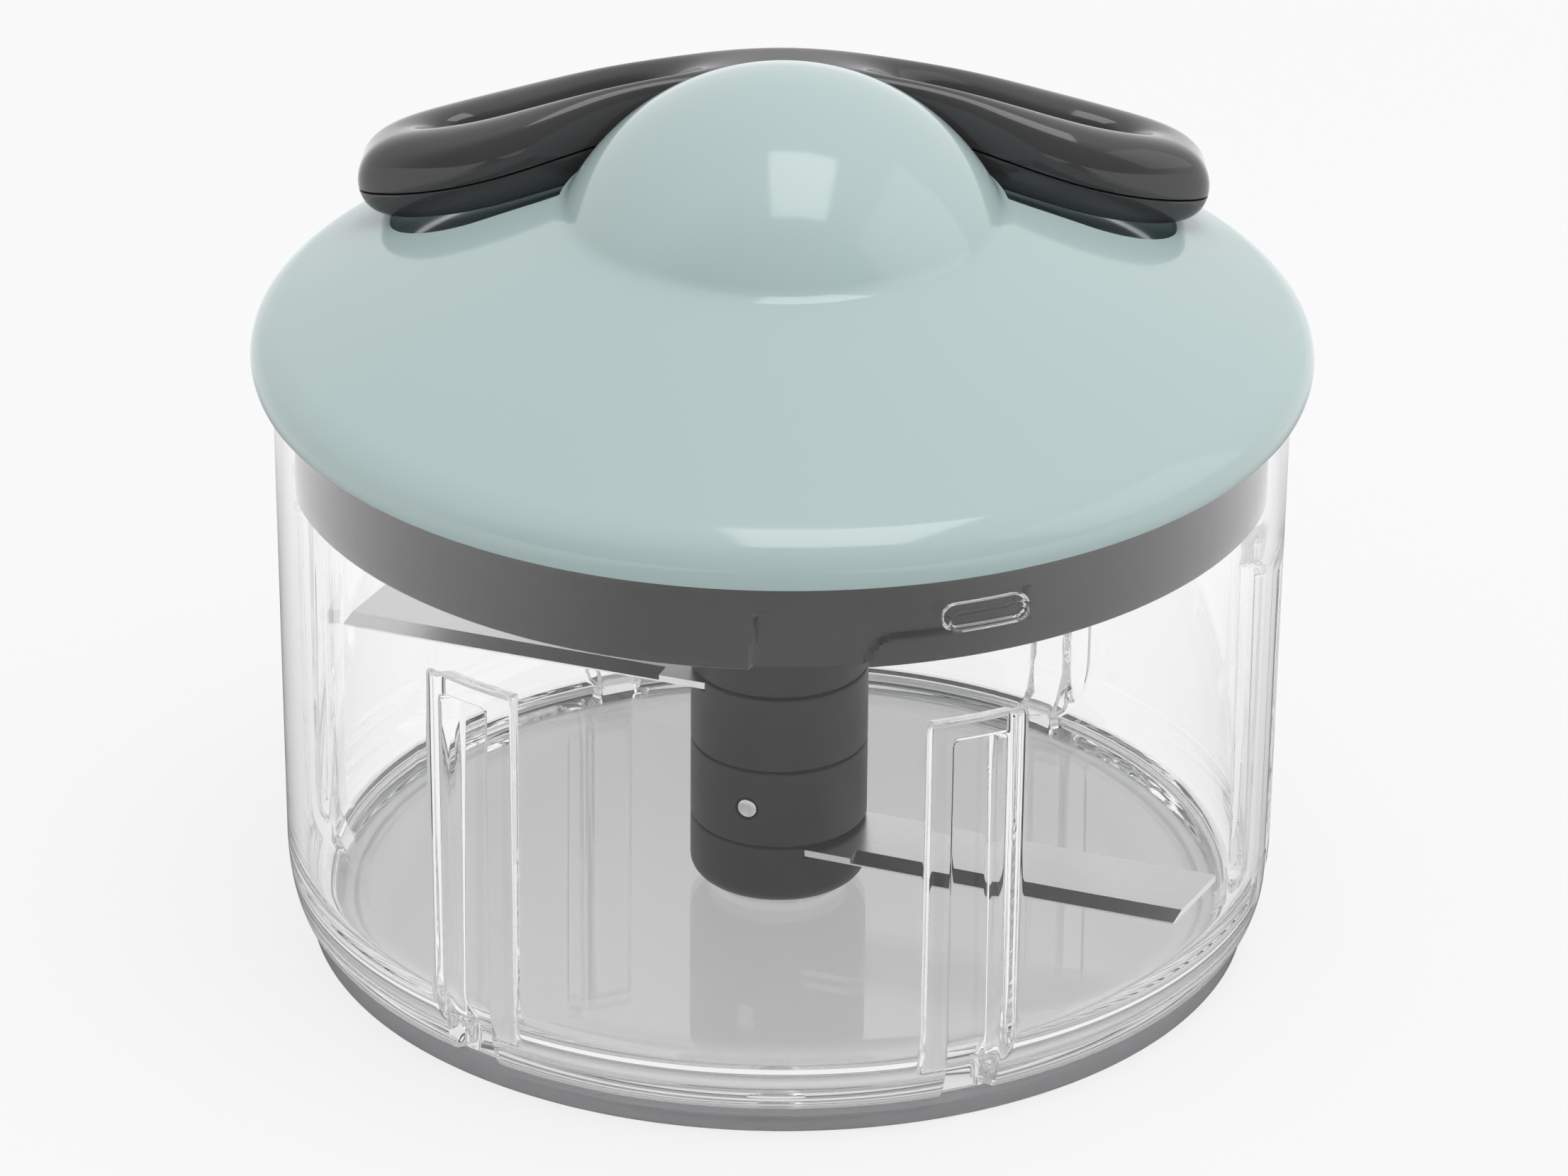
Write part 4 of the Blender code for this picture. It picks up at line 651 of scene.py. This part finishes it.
def makeCover(form):
    footTurn = math.degrees(math.acos(form["domeFoot"] / form["dome"]))
    cover = turnedPiece("lidShell", coverOutside(form, footTurn), steps=240)
    hollow = turnedPiece("lidHollow", coverInside(form, footTurn), steps=120)
    carve(hollow, scoopTool("scoopLiner", form, form["scoopDepth"] + form["wall"], form["wall"]))
    carve(hollow, nestTool("nestLiner", form, form["wall"] - form["nestLiner"]))
    carve(cover, hollow)
    carve(cover, scoopTool("scoop", form, form["scoopDepth"], 0))
    carve(cover, nestTool("nest", form, 0))
    clearSelection()
    bpy.ops.mesh.primitive_cylinder_add(
        vertices=48, radius=form["eyelet"] * mm, depth=form["eyeletLength"] * mm,
        rotation=(math.pi / 2, 0, 0),
        location=(0, (form["nestWall"] - form["eyeletIn"]) * mm, form["eyeletZ"] * mm))
    eyelet = bpy.context.object
    bpy.ops.object.transform_apply(location=True, rotation=True, scale=True)
    carve(cover, eyelet)
    settle(cover, mintGloss, "lid", ["lid_cover"], angle=30)


makeCover(lidForm)
print("lid cover made")


housingForm = {
    "plug": 61.6, "wall": 2.2, "plugBottom": 64.9, "plugRound": 0.4, "round": 0.3,
    "floor": 66.6, "floorTop": 68.6, "flangeBottom": 77.5, "flangeTop": 79.0, "flange": 63.5,
    "flangeIn": 1, "bush": 10.8,
    "tower": 22.0, "towerIn": 16.8, "towerTop": 83.9,
    "rowsTop": 0.8, "rowsBottom": 0.6, "rowGap": 0.3, "plainTop": 0.5,
    "trackFloor": 60.4, "lugAngle": 23.3, "lugTurn": 120, "lugHalf": 5.58, "twist": 20.0,
    "trackLow": 68.6, "trackHigh": 72.8, "trackEdge": 0.35,
    # outline of the track, in degrees beside the free lug's ends and mm up: its foot, then its corners
    "footLeft": (-1, 60), "footRight": ((1, 60), (1, 65.7), (1.3, 67.2)),
    "cornerRight": ((2.2, -0.4), (3.6, 0)), "cornerLeft": ((1, 0), (0, -0.4), (-0.6, -1.4)),
}


def insideOutline(x, y, outline):
    # signed distance to a closed outline, positive inside
    nearest = 1e9
    inside = False
    for (x0, y0), (x1, y1) in zip(outline, outline[1:] + outline[:1]):
        dx, dy = x1 - x0, y1 - y0
        share = min(1.0, max(0.0, ((x - x0) * dx + (y - y0) * dy) / (dx * dx + dy * dy)))
        nearest = min(nearest, math.hypot(x - x0 - share * dx, y - y0 - share * dy))
        if (y0 > y) != (y1 > y) and x < x0 + (y - y0) * dx / dy:
            inside = not inside
    return nearest if inside else -nearest


def trackOutline(form, perDegree):
    # the lug comes up through the foot and turns to the right, to where it rests
    free = form["lugAngle"] - form["twist"]
    left, right, end = free - form["lugHalf"], free + form["lugHalf"], form["lugAngle"] + form["lugHalf"]
    low, high = form["trackLow"], form["trackHigh"]
    track = [beside((left, 0), form["footLeft"])]
    track += [beside((right, 0), point) for point in form["footRight"]]
    track += [beside((right, low), point) for point in form["cornerRight"]]
    track += [(end, low), (end, high)]
    track += [beside((left, high), point) for point in form["cornerLeft"]]
    return [(angle * perDegree, z) for angle, z in track]


def makeHousing(form):
    plug, floorTop = form["plug"], form["floorTop"]
    inside = plug - form["wall"]
    flangeIn = inside - form["flangeIn"]
    face = rowsBetween(form["flangeBottom"] - form["rowsTop"], form["plugBottom"] + form["rowsBottom"],
                       form["rowGap"])
    housing = turnedPiece("lidHousing", [
        (flangeIn, form["flangeTop"]), (form["flange"], form["flangeTop"], form["round"]),
        (form["flange"], form["flangeBottom"]), (plug, form["flangeBottom"]), *[(plug, z) for z in face],
        (plug, form["plugBottom"], form["plugRound"]), (inside, form["plugBottom"], form["round"]),
        (inside, form["floor"]), (form["bush"], form["floor"]), (form["bush"], floorTop),
        (form["towerIn"], floorTop), (form["towerIn"], form["towerTop"]), (form["tower"], form["towerTop"]),
        (form["tower"], floorTop), (flangeIn, floorTop), (flangeIn, form["flangeTop"])], steps=720)
    perDegree = math.radians(1) * plug
    outline = trackOutline(form, perDegree)
    for vertex in housing.data.vertices:
        x, y, z = (value / mm for value in vertex.co)
        radius = math.hypot(x, y)
        if radius < form["trackFloor"] or z > form["flangeBottom"] - form["plainTop"]:
            continue
        angle = math.degrees(math.atan2(x, -y))
        local = fromNearest(angle, form["lugAngle"], form["lugTurn"]) + form["lugAngle"]
        deep = within(insideOutline(local * perDegree, z, outline), 0, form["trackEdge"])
        newRadius = radius - deep * (radius - form["trackFloor"])
        vertex.co = (x * newRadius / radius * mm, y * newRadius / radius * mm, z * mm)
    settle(housing, darkSatin, "lid", ["lid_housing"], angle=45)


makeHousing(housingForm)
print("lid housing made")


# handle

def handleWhole(form):
    # coarse cage of one half, its slot open, given its height, mirrored and smoothed
    stations = form["stations"]
    last = len(stations) - 1
    clearSelection()
    bpy.ops.mesh.primitive_grid_add(x_subdivisions=last, y_subdivisions=3, size=1)
    whole = bpy.context.object
    whole.name = "handleForm"
    bpy.ops.object.mode_set(mode="EDIT")
    cage = bmesh.from_edit_mesh(whole.data)
    for vertex in cage.verts:
        column = round((vertex.co.x + 0.5) * last)
        row = round((vertex.co.y + 0.5) * 3)
        along, rows, tall = stations[column]
        x, y = along * form["half"], form["y"] + rows[row] * form["barWidth"]
        vertex.co = (x * mm, y * mm, (handleLevel(x, y, form) + tall * form["barHeight"]) * mm)
    slotEnds = stations[1][0] * form["half"] * mm, stations[last - 1][0] * form["half"] * mm
    slotWidths = [sorted((*one[1][1:3], *other[1][1:3])) for one, other in zip(stations, stations[1:])]
    bpy.ops.mesh.select_mode(type="FACE")
    for face in cage.faces:
        columns = [vertex.co.x for vertex in face.verts]
        between = min(columns) > slotEnds[0] - hair and max(columns) < slotEnds[1] + hair
        widths = sorted(round((vertex.co.y / mm - form["y"]) / form["barWidth"], 3)
                        for vertex in face.verts)
        face.select = between and widths in slotWidths
    cage.select_flush_mode()
    bmesh.update_edit_mesh(whole.data)
    bpy.ops.mesh.delete(type="FACE")
    bpy.ops.mesh.select_all(action="SELECT")
    bpy.ops.mesh.extrude_region_move(TRANSFORM_OT_translate={"value": (0, 0, -1)})
    cage = bmesh.from_edit_mesh(whole.data)
    heights = {round(along * form["half"], 3): tall for along, rows, tall in stations}
    for vertex in cage.verts:
        if vertex.co.z < 0:
            tall = heights[round(vertex.co.x / mm, 3)]
            vertex.co.z += 1 - 2 * tall * form["barHeight"] * mm
    inner = [face for face in cage.faces if all(vertex.co.x < hair for vertex in face.verts)]
    bmesh.ops.delete(cage, geom=inner, context="FACES")
    bmesh.update_edit_mesh(whole.data)
    bpy.ops.mesh.select_all(action="SELECT")
    bpy.ops.mesh.normals_make_consistent(inside=False)
    bpy.ops.object.mode_set(mode="OBJECT")
    bpy.ops.object.modifier_add(type="MIRROR")
    whole.modifiers[-1].merge_threshold = form["merge"] * mm
    applyLast(whole)
    bpy.ops.object.modifier_add(type="SUBSURF")
    whole.modifiers[-1].levels = form["levels"]
    whole.modifiers[-1].render_levels = form["levels"]
    applyLast(whole)
    return whole


def knotPocket(form):
    # room for the knot and the bore that the cord comes through
    clearSelection()
    bpy.ops.mesh.primitive_uv_sphere_add(
        segments=32, ring_count=16, radius=form["pocket"] * mm, scale=form["pocketScale"],
        location=(0, form["y"] * mm, lidForm["eyeletZ"] * mm))
    pocket = bpy.context.object
    bpy.ops.object.transform_apply(location=True, rotation=True, scale=True)
    bpy.ops.mesh.primitive_cylinder_add(
        vertices=32, radius=form["bore"] * mm, depth=form["boreLength"] * mm,
        rotation=(math.pi / 2, 0, 0),
        location=(0, (form["y"] - form["boreFront"]) * mm, lidForm["eyeletZ"] * mm))
    bore = bpy.context.object
    bpy.ops.object.transform_apply(location=True, rotation=True, scale=True)
    carve(pocket, bore, "UNION")
    return pocket


def makeHandle(form):
    whole = handleWhole(form)
    carve(whole, knotPocket(form))
    gap = form["partingGap"] / 2
    reach = lidForm["nestHalf"]
    for name, node, edge, operation in (("handleTop", "handle_upper", gap, "DIFFERENCE"),
                                        ("handleUnder", "handle_lower", -gap, "INTERSECT")):
        makeActive(whole)
        bpy.ops.object.duplicate()
        shell = bpy.context.object
        shell.name = name
        room = bentBlock(name + "Room", front=-reach, back=reach, bottom=form["roomBottom"],
                         top=edge - form["parting"], half=form["half"] + form["roomPast"], columns=40)
        carve(shell, room, operation)
        softenEdges(shell, form["partingEdge"], angle=50, segments=2)
        settle(shell, darkGloss, "handle", [node], angle=50)
    bpy.data.objects.remove(whole)


makeHandle(handleForm)
print("handle made")


# lead of cord from the reel to the knot, along the line that the handle pulls it

cordForm = {
    "radius": 1.0, "z": 102.1, "reelRun": 12.2, "inWall": 13.2, "wall": 15.4, "knot": 19.5,
    "steps": 24, "rings": 6, "smoothAngle": 50,
    # how far the lead starts before the reel, stops on the way to the wall, and stops inside the wall
    "start": 0.15, "shares": (0.5, 0.85), "wallStops": (14.0, 14.7),
}


def makeCord(form):
    turn = math.acos(form["reelRun"] / form["inWall"])
    leave = Vector((form["reelRun"] * math.sin(turn), form["reelRun"] * math.cos(turn), form["z"]))
    inWall = Vector((0, form["inWall"], form["z"]))
    route = [leave + (leave - inWall) * form["start"]]
    route += [leave.lerp(inWall, share) for share in form["shares"]]
    route += [Vector((0, y, form["z"])) for y in form["wallStops"]]
    for i in range(form["steps"] + 1):
        y = form["wall"] + (form["knot"] - form["wall"]) * i / form["steps"]
        route.append(Vector((0, y, form["z"])))
    clearSelection()
    bpy.ops.curve.primitive_nurbs_path_add()
    cord = bpy.context.object
    cord.name = "cordLead"
    cord.data.splines.clear()
    line = cord.data.splines.new("POLY")
    line.points.add(len(route) - 1)
    for spot, place in zip(line.points, route):
        spot.co = (*(place * mm), 1)
    cord.data.bevel_depth = form["radius"] * mm
    cord.data.bevel_resolution = form["rings"]
    cord.data.use_fill_caps = True
    bpy.ops.object.convert(target="MESH")
    cord = bpy.context.object
    closeUp(cord)
    makeActive(cord)
    bpy.ops.object.shade_smooth_by_angle(angle=math.radians(form["smoothAngle"]))
    cord.data.materials.clear()
    cord.data.materials.append(braidedCord)
    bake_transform(cord)
    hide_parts("cord_lead")


makeCord(cordForm)
print("cord made")


# CAD nodes that keep their shape

finishOf = {
    "upper_blade": bladeSteel, "lower_blade": bladeSteel, "pivot_pin": brushedSteel,
    "blade_spindle": darkSatin,
    "drive_bush": naturalPlastic, "drive_socket": naturalPlastic, "cord_reel": naturalPlastic,
    "clutch_pawl_1": brushedSteel, "clutch_pawl_2": brushedSteel, "cord_winding": braidedCord,
    "recoil_spring": springSteel, "spring_case": naturalPlastic, "spring_cap": naturalPlastic,
    "case_screw_1": brushedSteel, "case_screw_2": brushedSteel, "case_screw_3": brushedSteel,
    "reel_axle": brushedSteel, "cord_guide": brushedSteel, "cord_knot": braidedCord,
}
for name, material in finishOf.items():
    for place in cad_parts[name].material_slots:
        place.material = material


# floor, light and camera

def mathNode(tree, operation, *values):
    # each value is a number or the socket that it comes from
    node = tree.nodes.new("ShaderNodeMath")
    node.operation = operation
    for socket, value in zip(node.inputs, values):
        if isinstance(value, float):
            socket.default_value = value
        else:
            tree.links.new(value, socket)
    return node.outputs[0]


def smoothRange(tree, value, start, end, low, high):
    node = tree.nodes.new("ShaderNodeMapRange")
    node.interpolation_type = "SMOOTHSTEP"
    for label, number in (("From Min", start), ("From Max", end), ("To Min", low), ("To Max", high)):
        node.inputs[label].default_value = number
    tree.links.new(value, node.inputs["Value"])
    return node.outputs["Result"]


def splitPlace(tree, kind):
    place = tree.nodes.new("ShaderNodeTexCoord")
    split = tree.nodes.new("ShaderNodeSeparateXYZ")
    tree.links.new(place.outputs[kind], split.inputs["Vector"])
    return split.outputs


def pathSwitch(tree, labels):
    # 1 for the kinds of ray that are named, 0 for the others
    path = tree.nodes.new("ShaderNodeLightPath")
    last = path.outputs[labels[0]]
    for label in labels[1:]:
        last = mathNode(tree, "MAXIMUM", last, path.outputs[label])
    return last


def mixShaders(tree, share, first, second):
    mix = tree.nodes.new("ShaderNodeMixShader")
    tree.links.new(share, mix.inputs["Fac"])
    tree.links.new(first, mix.inputs[1])
    tree.links.new(second, mix.inputs[2])
    return mix.outputs["Shader"]


floorLook = {
    "size": 6, "z": -0.0002, "paper": 0.86, "roughness": 0.9, "glow": 0.8, "glowBehindGlass": 0.93,
    "mirroredShare": 0.85, "mirroredMiddle": 0.08, "mirroredSides": 1.2, "from": 0.07, "to": 0.21,
}


def makeFloor(look):
    # white paper that glows a little where it is seen
    # its reflections are dim in front of the chopper and bright beside and behind it
    clearSelection()
    bpy.ops.mesh.primitive_plane_add(size=look["size"], location=(0, 0, look["z"]))
    floor = bpy.context.object
    floor.name = "tableTop"
    paper = bpy.data.materials.new("whitePaper")
    paper.use_nodes = True
    tree = paper.node_tree
    shader = tree.nodes["Principled BSDF"]
    shader.inputs["Base Color"].default_value = (look["paper"], look["paper"], look["paper"], 1)
    shader.inputs["Roughness"].default_value = look["roughness"]
    last = shader.outputs["BSDF"]
    place = splitPlace(tree, "Object")
    away = mathNode(tree, "MAXIMUM", mathNode(tree, "ABSOLUTE", place["X"]), place["Y"])
    mirrored = smoothRange(tree, away, look["from"], look["to"], look["mirroredMiddle"],
                           look["mirroredSides"])
    for label, share in (("Is Glossy Ray", look["mirroredShare"]), ("Is Camera Ray", look["glow"]),
                         ("Is Transmission Ray", look["glowBehindGlass"])):
        glow = tree.nodes.new("ShaderNodeEmission")
        if label == "Is Glossy Ray":
            tree.links.new(mirrored, glow.inputs["Strength"])
        part = mathNode(tree, "MULTIPLY", pathSwitch(tree, (label,)), share)
        last = mixShaders(tree, part, last, glow.outputs["Emission"])
    tree.links.new(last, tree.nodes["Material Output"].inputs["Surface"])
    floor.data.materials.append(paper)


worldLook = {
    "colour": (0.97, 0.98, 1.0), "plain": 0.68, "seen": 1.0, "mirroredFront": 0.14, "mirroredBack": 1.0,
    "from": -0.75, "to": -0.05,
}


def makeWorld(look):
    # plain light for the surfaces, white behind them, and a studio that is dark on the camera's side
    world = bpy.data.worlds.new("studio")
    bpy.context.scene.world = world
    world.use_nodes = True
    tree = world.node_tree
    plain = tree.nodes["Background"]
    plain.inputs["Color"].default_value = (*look["colour"], 1)
    plain.inputs["Strength"].default_value = look["plain"]
    white = tree.nodes.new("ShaderNodeBackground")
    white.inputs["Strength"].default_value = look["seen"]
    mirrored = tree.nodes.new("ShaderNodeBackground")
    mirrored.inputs["Color"].default_value = (1, 1, 1, 1)
    strength = smoothRange(tree, splitPlace(tree, "Generated")["Y"], look["from"], look["to"],
                           look["mirroredFront"], look["mirroredBack"])
    tree.links.new(strength, mirrored.inputs["Strength"])
    last = mixShaders(tree, pathSwitch(tree, ("Is Glossy Ray",)), plain.outputs["Background"],
                      mirrored.outputs["Background"])
    last = mixShaders(tree, pathSwitch(tree, ("Is Camera Ray", "Is Transmission Ray")), last,
                      white.outputs["Background"])
    tree.links.new(last, tree.nodes["World Output"].inputs["Surface"])


lamps = {
    "softTop": {"place": (0.12, -0.13, 1.0), "aim": (0.12, -0.13, 0), "size": (0.42, 0.58), "power": 2.35},
    "softRight": {"place": (1.15, -0.10, 0.75), "aim": (0, 0, 0.07), "size": (1.3, 1.0), "power": 2.4},
}


def makeLamps():
    for name, lamp in lamps.items():
        way = Vector(lamp["aim"]) - Vector(lamp["place"])
        bpy.ops.object.light_add(type="AREA", location=lamp["place"],
                                 rotation=way.to_track_quat("-Z", "Y").to_euler())
        light = bpy.context.object
        light.name = name
        light.data.shape = "RECTANGLE"
        light.data.size, light.data.size_y = lamp["size"]
        light.data.energy = lamp["power"]


view = {
    "away": 1.0, "height": 0.538, "down": 26.227, "roll": 0.465,
    "lens": 200.57, "sensor": 36, "shift": 0.00229, "near": 0.05, "bounces": 64,
}


def makeCamera():
    bpy.ops.object.camera_add(location=(0, -view["away"], view["height"]),
                              rotation=(math.radians(90 - view["down"]), 0, 0))
    camera = bpy.context.object
    camera.rotation_euler.rotate_axis("Z", math.radians(view["roll"]))
    camera.data.lens = view["lens"]
    camera.data.sensor_width = view["sensor"]
    camera.data.shift_x = view["shift"]
    camera.data.clip_start = view["near"]
    bpy.context.scene.camera = camera


makeFloor(floorLook)
makeWorld(worldLook)
makeLamps()
makeCamera()
bpy.context.scene.view_settings.view_transform = "Standard"
# fewer bounces leave black lines and spots in the bowl's thick places
bpy.context.scene.cycles.max_bounces = view["bounces"]
bpy.context.scene.cycles.glossy_bounces = view["bounces"]
bpy.context.scene.cycles.transmission_bounces = view["bounces"]
print("floor, light and camera made")
